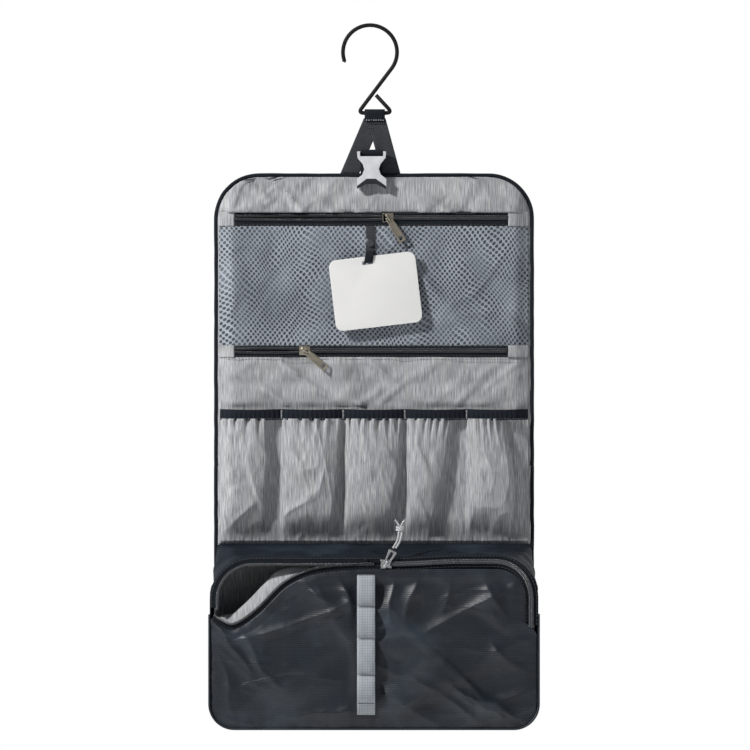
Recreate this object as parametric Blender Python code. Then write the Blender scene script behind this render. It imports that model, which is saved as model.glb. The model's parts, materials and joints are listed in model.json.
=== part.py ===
"""Hanging toiletry bag.

X runs across the bag, -Y is its front and Z points up. The origin is the inside of the hook's
crook, where the rail bears. Below the hook hang the webbing hanger, the upper section with its
mesh pocket, the middle section with its elastic pockets, and the zipped pouch. Every length is in
metres. Each moving group hangs from an empty that stands on its joint's axis.
"""
import math

import bmesh
import bpy
from mathutils import Matrix, Vector

# Overall sizes: the bag is 270 mm wide and hangs 594 mm from the hook's top to the pouch's base.
BAG_HALF = 0.135
BAG_TOP = -0.123
FOLD_UPPER = -0.300
FOLD_LOWER = -0.4355
BAG_BOTTOM = -0.591
TOP_CORNER = 0.038
BASE_CORNER = 0.021
GAP = 0.0003

# Hook: one bent steel wire.
WIRE = 0.0017
CROOK = 0.0228
CROOK_X = -0.0034
BAR_Z = -0.0721
BAR_LEFT = -0.0135
BAR_RIGHT = 0.0156

# Sheet goods.
SHELL = 0.0010
LINING_FRONT = -0.0020
BINDING = 0.0034
INNER_HALF = BAG_HALF - BINDING - GAP
FABRIC = 0.0008
LAYER = -0.0076
SEAM = -0.0030

# Zips: two tapes either side of a chain, with a slider straddling them.
ZIP_Y = -0.0075
TAPE = 0.0005
CHAIN_GAP = 0.0006
UPPER_CHAIN = -0.1605
MID_CHAIN = -0.2725
TAPE_LEFT = -0.1177
TAPE_RIGHT = 0.1130

# Elastic pockets.
DIVIDERS = (-0.1300, -0.0780, -0.0260, 0.0260, 0.0780, 0.1300)
BAND_TOP = -0.3219
BAND_BOTTOM = -0.3308
POCKET_BOTTOM = -0.4335

# Pouch.
POUCH_HALF = 0.139
POUCH_FRONT = -0.0550
POUCH_BULGE = 0.0070
WALL = 0.0014
MAIN_CHAIN = -0.4520
MAIN_Y = -0.0558
MAIN_CORNER = 0.020
ZIP_FOOT = -0.5050

BUCKLE_X = -0.0021
SOCKET_BAR = (-0.0072, -0.1058)
PLUG_TOP = -0.5150


def material(name, colour, roughness, metallic=0.0):
    made = bpy.data.materials.new(name)
    made.use_nodes = True
    shader = made.node_tree.nodes["Principled BSDF"]
    shader.inputs["Base Color"].default_value = (*colour, 1.0)
    shader.inputs["Roughness"].default_value = roughness
    shader.inputs["Metallic"].default_value = metallic
    made.diffuse_color = (*colour, 1.0)
    return made


def pivot(name, place, parent=None):
    """An empty on a joint's axis, which the pieces of the moving group hang from."""
    empty = bpy.data.objects.new(name, None)
    empty.empty_display_size = 0.01
    empty["place"] = place
    empty.parent = parent
    above = Vector(parent["place"]) if parent else Vector()
    empty.location = Vector(place) - above
    bpy.context.collection.objects.link(empty)
    return empty


def piece(name, shape, made_of, group, smooth=True):
    """One named solid, whose origin is its group's joint."""
    mesh = shape
    if isinstance(shape, bmesh.types.BMesh):
        bmesh.ops.recalc_face_normals(shape, faces=shape.faces)
        mesh = bpy.data.meshes.new(name)
        shape.to_mesh(mesh)
        shape.free()
    mesh.name = name
    mesh.transform(Matrix.Translation(-Vector(group["place"])))
    mesh.materials.clear()
    mesh.materials.append(made_of)
    if smooth:
        mesh.shade_smooth()
        mesh.set_sharp_from_angle(angle=math.radians(35))
    made = bpy.data.objects.new(name, mesh)
    made.parent = group
    bpy.context.collection.objects.link(made)
    return made


def arc(cx, cy, radius, start, end, steps):
    """Points on an arc, with its angles in degrees."""
    turns = [math.radians(start + (end - start) * i / steps) for i in range(steps + 1)]
    return [(cx + radius * math.cos(t), cy + radius * math.sin(t)) for t in turns]


def rounded(points, radius, steps=4, closed=False):
    """A polyline whose corners are arcs of one radius."""
    found, count = [], len(points)
    for i, corner in enumerate(points):
        if not closed and i in (0, count - 1):
            found.append(tuple(corner))
            continue
        here = Vector(corner)
        back = (Vector(points[i - 1]) - here).normalized()
        ahead = (Vector(points[(i + 1) % count]) - here).normalized()
        half = back.angle(ahead) / 2
        centre = here + (back + ahead).normalized() * (radius / math.sin(half))
        start = here + back * (radius / math.tan(half)) - centre
        end = here + ahead * (radius / math.tan(half)) - centre
        turn = start.angle_signed(end)
        for k in range(steps + 1):
            found.append(tuple(centre + Matrix.Rotation(-turn * k / steps, 2) @ start))
    return found


def box_outline(low_a, high_a, low_b, high_b):
    return [(low_a, low_b), (high_a, low_b), (high_a, high_b), (low_a, high_b)]


def prism(outline, low, high, axis="Y"):
    """A closed outline drawn square to an axis, and pushed along it from low to high."""
    shape = bmesh.new()

    def place(a, b, along):
        return {"X": (along, a, b), "Y": (a, along, b), "Z": (a, b, along)}[axis]

    near = [shape.verts.new(place(a, b, low)) for a, b in outline]
    far = [shape.verts.new(place(a, b, high)) for a, b in outline]
    shape.faces.new(near)
    shape.faces.new(far[::-1])
    for i, vertex in enumerate(near):
        after = (i + 1) % len(near)
        shape.faces.new((vertex, near[after], far[after], far[i]))
    return shape


def cylinder(centre, axis, radius, length, sides=12):
    shape = bmesh.new()
    turn = Vector((0, 0, 1)).rotation_difference(Vector(axis)).to_matrix().to_4x4()
    bmesh.ops.create_cone(
        shape,
        cap_ends=True,
        segments=sides,
        radius1=radius,
        radius2=radius,
        depth=length,
        matrix=Matrix.Translation(centre) @ turn,
    )
    return shape


def sheet(across, along, surface, thickness):
    """A cloth solid: surface(u, v) gives its front, and thickness leads to its back."""
    shape = bmesh.new()
    offset = Vector(thickness)
    sides = []
    for shift in (Vector(), offset):
        sides.append(
            [
                [shape.verts.new(Vector(surface(i / across, j / along)) + shift) for i in range(across + 1)]
                for j in range(along + 1)
            ]
        )
    for side in sides:
        for j in range(along):
            for i in range(across):
                shape.faces.new((side[j][i], side[j][i + 1], side[j + 1][i + 1], side[j + 1][i]))
    front, back = sides
    rim = [(0, i) for i in range(across)] + [(j, across) for j in range(along)]
    rim += [(along, i) for i in range(across, 0, -1)] + [(j, 0) for j in range(along, 0, -1)]
    for (j, i), (n, m) in zip(rim, rim[1:] + rim[:1]):
        shape.faces.new((front[j][i], front[n][m], back[n][m], back[j][i]))
    return shape


def band(path, inner, outer):
    """The outline of a strip that follows an open path, from its inner offset to its outer one."""
    points = [Vector(p) for p in path]
    sides = ([], [])
    for i, point in enumerate(points):
        run = (points[min(i + 1, len(points) - 1)] - points[max(i - 1, 0)]).normalized()
        normal = Vector((-run.y, run.x))
        sides[0].append(tuple(point + normal * inner))
        sides[1].append(tuple(point + normal * outer))
    return sides[0] + sides[1][::-1]


def with_solids(base, steps):
    """A mesh after joining other solids to it (UNION) or cutting them out of it (DIFFERENCE)."""
    collection = bpy.context.collection
    objects = []
    for shape in [base] + [s for _, s in steps]:
        bmesh.ops.recalc_face_normals(shape, faces=shape.faces)
        mesh = bpy.data.meshes.new("workpiece")
        shape.to_mesh(mesh)
        shape.free()
        objects.append(bpy.data.objects.new("workpiece", mesh))
        collection.objects.link(objects[-1])
    for (operation, _), operand in zip(steps, objects[1:]):
        modifier = objects[0].modifiers.new(operation, "BOOLEAN")
        modifier.operation = operation
        modifier.object = operand
    graph = bpy.context.evaluated_depsgraph_get()
    made = bpy.data.meshes.new_from_object(objects[0].evaluated_get(graph))
    for made_object in objects:
        bpy.data.objects.remove(made_object)
    return made


def smoothstep(low, high, value):
    t = min(1.0, max(0.0, (value - low) / (high - low)))
    return t * t * (3 - 2 * t)


def through(knots, x):
    """The height of a smooth curve through a few knots (x, height), at x."""
    if x <= knots[0][0]:
        return knots[0][1]
    for k in range(len(knots) - 1):
        (xa, ya), (xb, yb) = knots[k], knots[k + 1]
        if x <= xb:
            before = knots[max(k - 1, 0)]
            after = knots[min(k + 2, len(knots) - 1)]
            slope_a = (yb - before[1]) / (xb - before[0])
            slope_b = (after[1] - ya) / (after[0] - xa)
            t, span = (x - xa) / (xb - xa), xb - xa
            return (
                (2 * t**3 - 3 * t**2 + 1) * ya
                + (t**3 - 2 * t**2 + t) * span * slope_a
                + (3 * t**2 - 2 * t**3) * yb
                + (t**3 - t**2) * span * slope_b
            )
    return knots[-1][1]


def top_width(z, inset):
    """Half the upper section's width at a height, an inset inside its rounded top corners."""
    half, radius = BAG_HALF - inset, TOP_CORNER - inset
    rise = z - (BAG_TOP - TOP_CORNER)
    if rise <= 0:
        return half
    return half - radius + math.sqrt(max(radius**2 - rise**2, 0.0))


def edge_blend(x):
    """0 where a front layer is sewn into the binding, 1 away from it."""
    return smoothstep(0.0, 0.013, INNER_HALF - abs(x))


def front_layer(x, rise):
    return SEAM + (LAYER - SEAM) * rise * edge_blend(x)


# ---------------------------------------------------------------- hook and hanger


def hook_route():
    """The hook wire's middle: crook, shank, bar and returned tip, in the XZ plane."""
    centre_z = WIRE - math.sqrt(CROOK**2 - CROOK_X**2)
    tip_turn, shank_turn = 198, -37
    crook = arc(CROOK_X, centre_z, CROOK, tip_turn, shank_turn, 22)
    tip = Vector(crook[0])
    tail = (tip.x - 0.0006, tip.y - 0.0012)
    shank = rounded([crook[-1], (BAR_LEFT, BAR_Z), (BAR_RIGHT, BAR_Z), (0.0008, -0.0561)], 0.0025, 5)
    return [tail] + crook + shank[1:]


def wire(name, points, radius, made_of, group, sides=2):
    """A round wire or cord along a list of points, as a closed mesh."""
    curve = bpy.data.curves.new(name, "CURVE")
    curve.dimensions = "3D"
    curve.bevel_depth = radius
    curve.bevel_resolution = sides
    curve.use_fill_caps = True
    spline = curve.splines.new("POLY")
    spline.points.add(len(points) - 1)
    here = Vector(group["place"])
    for knot, place in zip(spline.points, points):
        knot.co = (*(Vector(place) - here), 1.0)
    curve.materials.append(made_of)
    made = bpy.data.objects.new(name, curve)
    made.parent = group
    bpy.context.collection.objects.link(made)
    return made


def hanger_webbing(made_of, group):
    """One webbing strap folded over the hook's bar, with its two legs spread into an A."""
    low, high = -0.0078, 0.0090
    legs = [
        (low, BAR_Z - 0.0050),
        (high, BAR_Z - 0.0050),
        (0.0224, BAG_TOP + GAP),
        (0.0118, BAG_TOP + GAP),
        (-0.0006, -0.0975),
        (-0.0016, -0.0975),
        (-0.0143, BAG_TOP + GAP),
        (-0.0282, BAG_TOP + GAP),
    ]
    half, loop = 0.0012, 0.0035
    neck = math.degrees(math.asin(half / loop))
    keyhole = arc(0, BAR_Z, loop, -90 + neck, 270 - neck, 16)
    keyhole += [(-half, BAR_Z - 0.0060), (half, BAR_Z - 0.0060)]
    steps = [
        ("UNION", prism(keyhole, low + 0.0001, high - 0.0001, "X")),
        ("DIFFERENCE", cylinder((0, 0, BAR_Z), (1, 0, 0), 0.0021, 0.060, 16)),
    ]
    piece("hanger_webbing", with_solids(prism(legs, -half, half), steps), made_of, group)


# ---------------------------------------------------------------- upper section


def upper_outline(inset, foot):
    """The upper section's closed outline, an inset inside its binding's outer edge."""
    half, radius, high = BAG_HALF - inset, TOP_CORNER - inset, BAG_TOP - TOP_CORNER
    points = [(half, foot)]
    points += arc(half - radius, high, radius, 0, 90, 8)
    points += arc(radius - half, high, radius, 90, 180, 8)
    return points + [(-half, foot)]


def upper_section(cloth, group):
    foot = FOLD_UPPER + GAP
    shell = prism(upper_outline(BINDING + GAP, foot), -SHELL, SHELL)
    piece("upper_shell", shell, cloth["shell"], group)
    lining = prism(upper_outline(BINDING + GAP, foot), LINING_FRONT, LINING_FRONT + 0.0007)
    piece("upper_lining", lining, cloth["lining"], group)
    rim = upper_outline(0, foot) + upper_outline(BINDING, foot)[::-1]
    piece("upper_binding", prism(rim, -0.0026, 0.0016), cloth["binding"], group)

    def top_panel(u, v):
        z = -0.1266 + (-0.1556 + 0.1266) * v
        x = (2 * u - 1) * (top_width(z, BINDING) - 0.0016)
        return x, front_layer(x, smoothstep(0.1, 1, v)), z

    piece("top_panel", sheet(18, 5, top_panel, (0, FABRIC, 0)), cloth["lining"], group)

    mesh_top, mesh_bottom = -0.1676, -0.2684

    def mesh_panel(u, v):
        x = (2 * u - 1) * INNER_HALF
        billow = 0.0022 * math.sin(math.pi * v) * edge_blend(x)
        return x, front_layer(x, 1) - billow, mesh_top + (mesh_bottom - mesh_top) * v

    piece("mesh_panel", sheet(16, 6, mesh_panel, (0, FABRIC, 0)), cloth["mesh"], group)

    def header(u, v):
        x = (2 * u - 1) * INNER_HALF
        z = -0.2782 + (foot + 0.2782) * v
        return x, front_layer(x, 1 - smoothstep(0, 1, v)), z

    piece("zip_pocket_header", sheet(14, 3, header, (0, FABRIC, 0)), cloth["lining"], group)


def straight_zip(name, chain, top, bottom, cloth, group):
    """A zip across the section: two tapes, and the cloth tab that finishes each end of them."""
    ends = (TAPE_LEFT, TAPE_RIGHT)
    for side, low, high in (("top", chain + CHAIN_GAP, top), ("bottom", bottom, chain - CHAIN_GAP)):
        tape = prism(box_outline(*ends, low, high), ZIP_Y - TAPE, ZIP_Y + TAPE)
        piece(f"{name}_zip_tape_{side}", tape, cloth["binding"], group)
    for side, inner in (("left", TAPE_LEFT - GAP), ("right", TAPE_RIGHT + GAP)):
        outer = math.copysign(INNER_HALF - 0.0006, inner)

        def tab(u, v, inner=inner, outer=outer):
            x = inner + (outer - inner) * u
            return x, front_layer(x, 1) - 0.0003, top + (bottom - top) * v

        shape = sheet(4, 1, tab, (0, FABRIC, 0))
        piece(f"{name}_zip_tab_{side}", shape, cloth["lining"], group)


def rotated_box(frame, low, high):
    """A box in a frame of its own, from one corner to the other."""
    outline = box_outline(low[0], high[0], low[1], high[1])
    shape = prism(outline, low[2], high[2], "Z")
    shape.transform(frame)
    return shape


def pull_frame(place, lean, tilt=0.0):
    """Axes of a zip pull: X along it, Y along its hinge and Z out of the bag, in degrees."""
    along = Vector((math.cos(math.radians(lean)), 0, math.sin(math.radians(lean))))
    out = Vector((0, -1, 0))
    hinge = out.cross(along)
    if tilt:
        turn = Matrix.Rotation(math.radians(-tilt), 3, hinge)
        along, out = turn @ along, turn @ out
    frame = Matrix((along, hinge, out)).transposed().to_4x4()
    return Matrix.Translation(place) @ frame


BAIL_RISE = 0.0031


def zip_slider(name, place, lean, made_of, group):
    """A slider around the gap between two tapes, with the arched bail that holds its pull."""
    x, y, z = place
    near, far, web, tall, half = 0.0009, 0.0019, 0.0003, 0.0038, 0.0045
    profile = [
        (y - far, z - tall),
        (y - near, z - tall),
        (y - near, z - web),
        (y + near, z - web),
        (y + near, z - tall),
        (y + far, z - tall),
        (y + far, z + tall),
        (y + near, z + tall),
        (y + near, z + web),
        (y - near, z + web),
        (y - near, z + tall),
        (y - far, z + tall),
    ]
    frame = pull_frame((x, y - BAIL_RISE, z), lean)
    arch = [
        (-0.0030, -0.0014),
        (-0.0030, 0.0019),
        (0.0030, 0.0019),
        (0.0030, -0.0014),
        (0.0020, -0.0014),
        (0.0020, 0.0012),
        (-0.0020, 0.0012),
        (-0.0020, -0.0014),
    ]
    bail = prism([(a, b) for a, b in arch], -0.0008, 0.0008, "Y")
    bail.transform(frame)
    body = prism(profile, x - half, x + half, "X")
    piece(name, with_solids(body, [("UNION", bail)]), made_of, group)


def pull_tab(name, place, lean, made_of, group):
    """A flat metal pull, hooked round the bail at one end and drilled at the other."""
    frame = pull_frame(place, lean, tilt=5.0)
    half, long, thick = 0.0032, 0.0240, 0.0005
    blank = [(-0.0005, -0.0026), (0.0050, -0.0026), (0.0075, -half), (long, -half)]
    blank += [(a, -b) for a, b in blank[::-1]]
    body = prism(blank, -thick, thick, "Z")
    body.transform(frame)
    eye = rotated_box(frame, (0.0005, -0.0015, -0.002), (0.0041, 0.0015, 0.002))
    drilled = cylinder(frame @ Vector((long - 0.0035, 0, 0)), frame.col[2].xyz, 0.0019, 0.006, 12)
    steps = [("DIFFERENCE", eye), ("DIFFERENCE", drilled)]
    piece(name, with_solids(body, steps), made_of, group)


# ---------------------------------------------------------------- buckle halves


def buckle_socket(made_of, group):
    """The socket half: a waisted shell with an open mouth, hung from the bar at its top."""
    x = BUCKLE_X
    bar_y, bar_z = SOCKET_BAR
    right = [
        (0.0098, 0.0012),
        (0.0122, 0.0010),
        (0.0118, -0.0045),
        (0.0075, -0.0095),
        (0.0062, -0.0140),
        (0.0078, -0.0185),
        (0.0124, -0.0220),
        (0.0124, -0.0295),
        (0.0045, -0.0262),
    ]
    inner = [(0.0098, -0.0030)]
    outline = inner + right + [(-a, b) for a, b in (inner + right)[::-1]]
    outline = [(x + a, bar_z + b) for a, b in outline]
    body = prism(outline, bar_y - 0.0048, bar_y + 0.0014)
    bar = cylinder((x, bar_y, bar_z), (1, 0, 0), 0.0012, 0.0216, 12)
    mouth = prism(
        [
            (x - 0.0092, bar_z - 0.0330),
            (x + 0.0092, bar_z - 0.0330),
            (x + 0.0092, bar_z - 0.0225),
            (x + 0.0050, bar_z - 0.0170),
            (x + 0.0046, bar_z - 0.0075),
            (x - 0.0046, bar_z - 0.0075),
            (x - 0.0050, bar_z - 0.0170),
            (x - 0.0092, bar_z - 0.0225),
        ],
        bar_y - 0.0038,
        bar_y + 0.0004,
    )
    shape = with_solids(body, [("UNION", bar), ("DIFFERENCE", mouth)])
    piece("buckle_socket", shape, made_of, group)


def looped_strap(name, half, centre, radii, tail, foot, made_of, group):
    """Webbing sewn flat at its foot, with a loop round a bar at its other end."""
    bar_y, bar_z = centre
    inner, outer = radii
    loop = cylinder((BUCKLE_X, bar_y, bar_z), (1, 0, 0), outer, 2 * half, 16)
    leg = box_outline(*tail, *sorted((foot, bar_z)))
    steps = [
        ("UNION", prism(leg, BUCKLE_X - half, BUCKLE_X + half, "X")),
        ("DIFFERENCE", cylinder((BUCKLE_X, bar_y, bar_z), (1, 0, 0), inner, 4 * half, 12)),
    ]
    piece(name, with_solids(loop, steps), made_of, group)


# ---------------------------------------------------------------- mirror


def mirror(cloth, hard, strap_group, mirror_group):
    """A flat mirror with a slot, hung by a short snap strap from the upper zip."""
    x, top, low = -0.0031, -0.1672, -0.1940
    strap_y, drop = -0.0092, 0.0034

    def strap(u, v):
        return x + (2 * u - 1) * 0.0037, strap_y - drop * v, top + (low - top) * v

    piece("mirror_strap", sheet(1, 2, strap, (0, 0.0008, 0)), cloth["binding"], strap_group)
    stud = cylinder((x, strap_y - drop * 0.55 - 0.0013, -0.1820), (0, 1, 0), 0.0031, 0.0016, 14)
    piece("mirror_strap_snap", stud, hard["snap"], strap_group)
    half_x, half_z = 0.0367, 0.0300
    middle = Vector((0.0013, -0.2227))
    lean = Matrix.Rotation(math.radians(6.7), 2)
    corners = [(-half_x, -half_z), (half_x, -half_z), (half_x, half_z), (-half_x, half_z)]
    outline = [tuple(middle + lean @ Vector(p)) for p in rounded(corners, 0.0063, 4, closed=True)]
    slot_corners = [(-0.0085, 0.0232), (0.0005, 0.0232), (0.0005, 0.0262), (-0.0085, 0.0262)]
    slot = [tuple(middle + lean @ Vector(p)) for p in slot_corners]
    plate = with_solids(prism(outline, -0.0162, -0.0142), [("DIFFERENCE", prism(slot, -0.02, -0.01))])
    piece("mirror_plate", plate, hard["mirror"], mirror_group)


# ---------------------------------------------------------------- middle section


def middle_section(cloth, group):
    top, foot = FOLD_UPPER - GAP, FOLD_LOWER + GAP
    shell = prism(box_outline(-INNER_HALF, INNER_HALF, foot, top), -SHELL, SHELL)
    piece("middle_shell", shell, cloth["shell"], group)
    face = box_outline(-INNER_HALF, INNER_HALF, foot, top)
    lining = prism(face, LINING_FRONT, LINING_FRONT + 0.0007)
    piece("middle_lining", lining, cloth["lining"], group)
    for side, sign in (("left", -1), ("right", 1)):
        edges = sorted((sign * BAG_HALF, sign * (BAG_HALF - BINDING)))
        strip = prism(box_outline(*edges, foot, top), -0.0026, 0.0016)
        piece(f"middle_binding_{side}", strip, cloth["binding"], group)

    def backing(u, v):
        x = (2 * u - 1) * INNER_HALF
        z = top + (foot - top) * v
        rise = smoothstep(FOLD_UPPER, BAND_TOP, z) * smoothstep(foot, -0.4150, z)
        return x, front_layer(x, rise), z

    piece("pocket_backing", sheet(14, 12, backing, (0, FABRIC, 0)), cloth["lining"], group)

    def puff(x):
        """How far the pocket cloth stands off between two dividers, from 0 to 1."""
        for low, high in zip(DIVIDERS, DIVIDERS[1:]):
            if x <= high + 1e-6:
                return max(0.0, math.sin(math.pi * (x - low) / (high - low)))
        return 0.0

    def pocket_y(x, z, swell):
        rise = smoothstep(foot, -0.4150, z)
        return front_layer(x, rise) - 0.0009 - swell * puff(x)

    def across(u):
        return DIVIDERS[0] + (DIVIDERS[-1] - DIVIDERS[0]) * u

    def elastic(u, v):
        x, z = across(u), BAND_TOP + (BAND_BOTTOM - BAND_TOP) * v
        return x, pocket_y(x, z, 0.0075) - 0.0012, z

    piece("elastic_band", sheet(30, 1, elastic, (0, 0.0012, 0)), cloth["binding"], group)

    def gathered(u, v):
        z = BAND_BOTTOM - GAP + (POCKET_BOTTOM - BAND_BOTTOM + GAP) * v
        x = across(u)
        swell = 0.0075 + 0.0030 * math.sin(math.pi * v) - 0.0062 * smoothstep(0.6, 1, v)
        return x, pocket_y(x, z, swell) - FABRIC, z

    piece("gathered_pockets", sheet(30, 5, gathered, (0, FABRIC, 0)), cloth["lining"], group)


# ---------------------------------------------------------------- pouch

MOUTH = [
    (-0.138, -0.0400),
    (-0.128, -0.0475),
    (-0.118, -0.0505),
    (-0.100, -0.0390),
    (-0.075, -0.0150),
    (-0.050, -0.0040),
    (-0.010, 0.0),
]
FRONT_EDGE = MAIN_CHAIN - CHAIN_GAP
MOUTH_FOOT = -0.4860


def mouth_drop(x):
    """How far the opened front edge hangs below the closed zip, towards the left."""
    return through(MOUTH, x) if x < MOUTH[-1][0] else 0.0


def main_zip_path(left):
    """The chain's line: along the front edge from a left end, then round and down the right side."""
    turn_x, foot = POUCH_HALF - 0.0070 - MAIN_CORNER, ZIP_FOOT
    points = [(left, MAIN_CHAIN), (0.010, MAIN_CHAIN)]
    points += arc(turn_x, MAIN_CHAIN - MAIN_CORNER, MAIN_CORNER, 90, 0, 6)
    return points + [(turn_x + MAIN_CORNER, foot)]


def pouch_outline(half):
    """The side and base walls' line, from the left wall's top round to the right wall's top."""
    top, corner = -0.4415, BASE_CORNER
    points = [(-half, top)] + arc(corner - half, BAG_BOTTOM + corner, corner, 180, 270, 6)
    return points + arc(half - corner, BAG_BOTTOM + corner, corner, 270, 360, 6) + [(half, top)]


def pouch_shell(cloth, group):
    """The pouch's back, which carries on from the middle section, and its sides, top and base."""
    top, inset = FOLD_LOWER - GAP, BINDING + GAP

    def back_outline(inset_by, foot):
        half, corner = BAG_HALF - inset_by, BASE_CORNER - inset_by
        points = [(-half, top)] + arc(corner - half, foot + corner, corner, 180, 270, 6)
        return points + arc(half - corner, foot + corner, corner, 270, 360, 6) + [(half, top)]

    foot = BAG_BOTTOM + 0.0006
    inner = back_outline(inset, foot + inset)
    piece("pouch_back", prism(inner, -SHELL, SHELL), cloth["shell"], group)
    lining = prism(inner, LINING_FRONT, LINING_FRONT + 0.0007)
    piece("pouch_back_lining", lining, cloth["lining"], group)
    rim = back_outline(0, foot) + back_outline(BINDING, foot + BINDING)[::-1]
    piece("pouch_binding", prism(rim, -0.0026, 0.0016), cloth["binding"], group)

    walls = prism(band(pouch_outline(POUCH_HALF), 0.0, WALL), POUCH_FRONT + WALL + GAP, -0.0030)
    piece("pouch_side_gusset", walls, cloth["pouch"], group)

    def top_gusset(u, v):
        half = INNER_HALF + 0.0040 * v
        return (2 * u - 1) * half, -0.0035 - 0.0508 * v, -0.4368 - 0.0100 * v**1.5

    piece("pouch_top_gusset", sheet(12, 5, top_gusset, (0, 0, -WALL)), cloth["pouch"], group)


def front_face(u, v, left, right):
    """A point of the pouch's front: u across it and v from its base to its top edge."""
    foot_x = -0.1372 + 0.2744 * u
    head_x = left + (right - left) * u
    inside = abs(foot_x) - (0.1372 - BASE_CORNER)
    rise = BASE_CORNER - math.sqrt(max(BASE_CORNER**2 - max(inside, 0.0) ** 2, 0.0))
    foot = BAG_BOTTOM + 0.0008 + rise
    corner = max(head_x - (right - 0.0145), 0.0)
    round_off = 0.0145 - math.sqrt(max(0.0145**2 - corner**2, 0.0))
    slope = (mouth_drop(head_x + 0.001) - mouth_drop(head_x - 0.001)) / 0.002
    tape = 0.0060 * math.sqrt(1 + slope**2)
    head = FRONT_EDGE - tape + mouth_drop(head_x) - round_off
    x = foot_x + (head_x - foot_x) * smoothstep(0.42, 0.58, v)
    z = foot + (head - foot) * v
    swell = POUCH_BULGE * math.sin(math.pi * min(max(u, 0.0), 1.0)) ** 0.6
    swell *= math.sin(math.pi * min(0.5, 0.5 * v / 0.35)) * (1 - 0.55 * smoothstep(0.55, 1, v))
    return x, POUCH_FRONT - swell, z


def pouch_front(cloth, group):
    left, right = -0.1372, 0.1252

    def outside(u, v):
        return front_face(u, v, left, right)

    def inside(u, v):
        x, y, z = front_face(0.01 + 0.98 * u, 0.02 + 0.975 * v, left, right)
        return x, y + WALL + 0.0012, z

    piece("pouch_front", sheet(24, 10, outside, (0, WALL, 0)), cloth["pouch"], group)
    lining = sheet(20, 8, inside, (0, 0.0006, 0))
    piece("pouch_front_lining", lining, cloth["lining"], group)


def main_zip(cloth, group):
    """The pouch's zip: its rear tape on the walls, its front tape on the front's open edge."""
    left_foot = (-(POUCH_HALF - 0.0070), MOUTH_FOOT)
    turn_x = POUCH_HALF - 0.0070 - MAIN_CORNER
    left_side = [left_foot] + arc(-turn_x, MAIN_CHAIN - MAIN_CORNER, MAIN_CORNER, 180, 90, 6)
    rear = left_side + main_zip_path(-0.010)
    tape = prism(band(rear, CHAIN_GAP, 0.0056), MAIN_Y - TAPE, MAIN_Y + TAPE)
    piece("main_zip_tape_rear", tape, cloth["binding"], group)
    steps = 16
    opened = []
    for i in range(steps):
        x = -0.1350 + (0.1250 / steps) * i
        opened.append((x, MAIN_CHAIN + mouth_drop(x)))
    front = opened + main_zip_path(-0.005)[1:]
    tape = prism(band(front, -0.0054, -CHAIN_GAP), MAIN_Y - TAPE, MAIN_Y + TAPE)
    piece("main_zip_tape_front", tape, cloth["binding"], group)


STITCHES = (-0.4615, -0.4880, -0.5147, -0.5455, -0.5682, -0.5784)


def daisy_strap(made_of, group):
    """Webbing sewn down the pouch's front at intervals, standing off in a loop between them."""
    x, half, thick, lift = -0.0067, 0.0076, 0.0011, 0.0062
    low, high = BAG_BOTTOM + 0.0008, FRONT_EDGE - 0.0058
    points = []

    def base_y(z):
        return front_face(0.475, (z - low) / (high - low), -0.1372, 0.1252)[1] - 0.0007

    for top, foot in zip(STITCHES[:-2], STITCHES[1:-1]):
        for k in range(8):
            t = k / 8
            z = top + (foot - top) * t
            points.append((base_y(z) - lift * math.sin(math.pi * t) ** 0.7, z))
    points += [(base_y(z), z) for z in STITCHES[-2:]]
    strap = prism(band(points, -thick, 0.0), x - half, x + half, "X")
    piece("daisy_strap", strap, made_of, group)


# ---------------------------------------------------------------- main zip pull

PULL_LEAN = 62.0
CORD = 0.0009


def cord_route(side):
    """One leg of the pull's cord, from the metal link up to the knot."""
    points = [
        (0.0168, -0.0588, -0.4388),
        (0.0186, -0.0575, -0.4362),
        (0.0204, -0.0550, -0.4330),
        (0.0216, -0.0515, -0.4290),
        (0.0220, -0.0480, -0.4254),
    ]
    return [(x + side * 0.0012, y, z) for x, y, z in points]


def main_pull(hard, cord, place, group):
    """The main slider's pull: a teardrop metal link with a knotted cord through it."""
    frame = pull_frame(place, PULL_LEAN, tilt=0)
    blank = [(-0.0005, -0.0024), (0.0045, -0.0026), (0.0118, -0.0036), (0.0128, -0.0028)]
    blank += [(a, -b) for a, b in blank[::-1]]
    body = prism(blank, -0.0005, 0.0005, "Z")
    body.transform(frame)
    eye = rotated_box(frame, (0.0005, -0.0014, -0.002), (0.0112, 0.0014, 0.002))
    link = with_solids(body, [("DIFFERENCE", eye)])
    piece("main_pull_link", link, hard["steel"], group)
    for side, sign in (("left", -1), ("right", 1)):
        wire(f"pull_cord_{side}", cord_route(sign), CORD, cord, group)
    knot = bmesh.new()
    shift = Matrix.Translation((0.0220, -0.0465, -0.4226))
    bmesh.ops.create_uvsphere(knot, u_segments=12, v_segments=8, radius=1.0)
    knot.transform(shift @ Matrix.Diagonal((0.0042, 0.0026, 0.0024, 1.0)))
    piece("pull_cord_knot", knot, cord, group)


# ---------------------------------------------------------------- plug half


PLUG_BAR = (0.0042, -0.5375)
PRONG_ROOT = 0.0150


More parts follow.
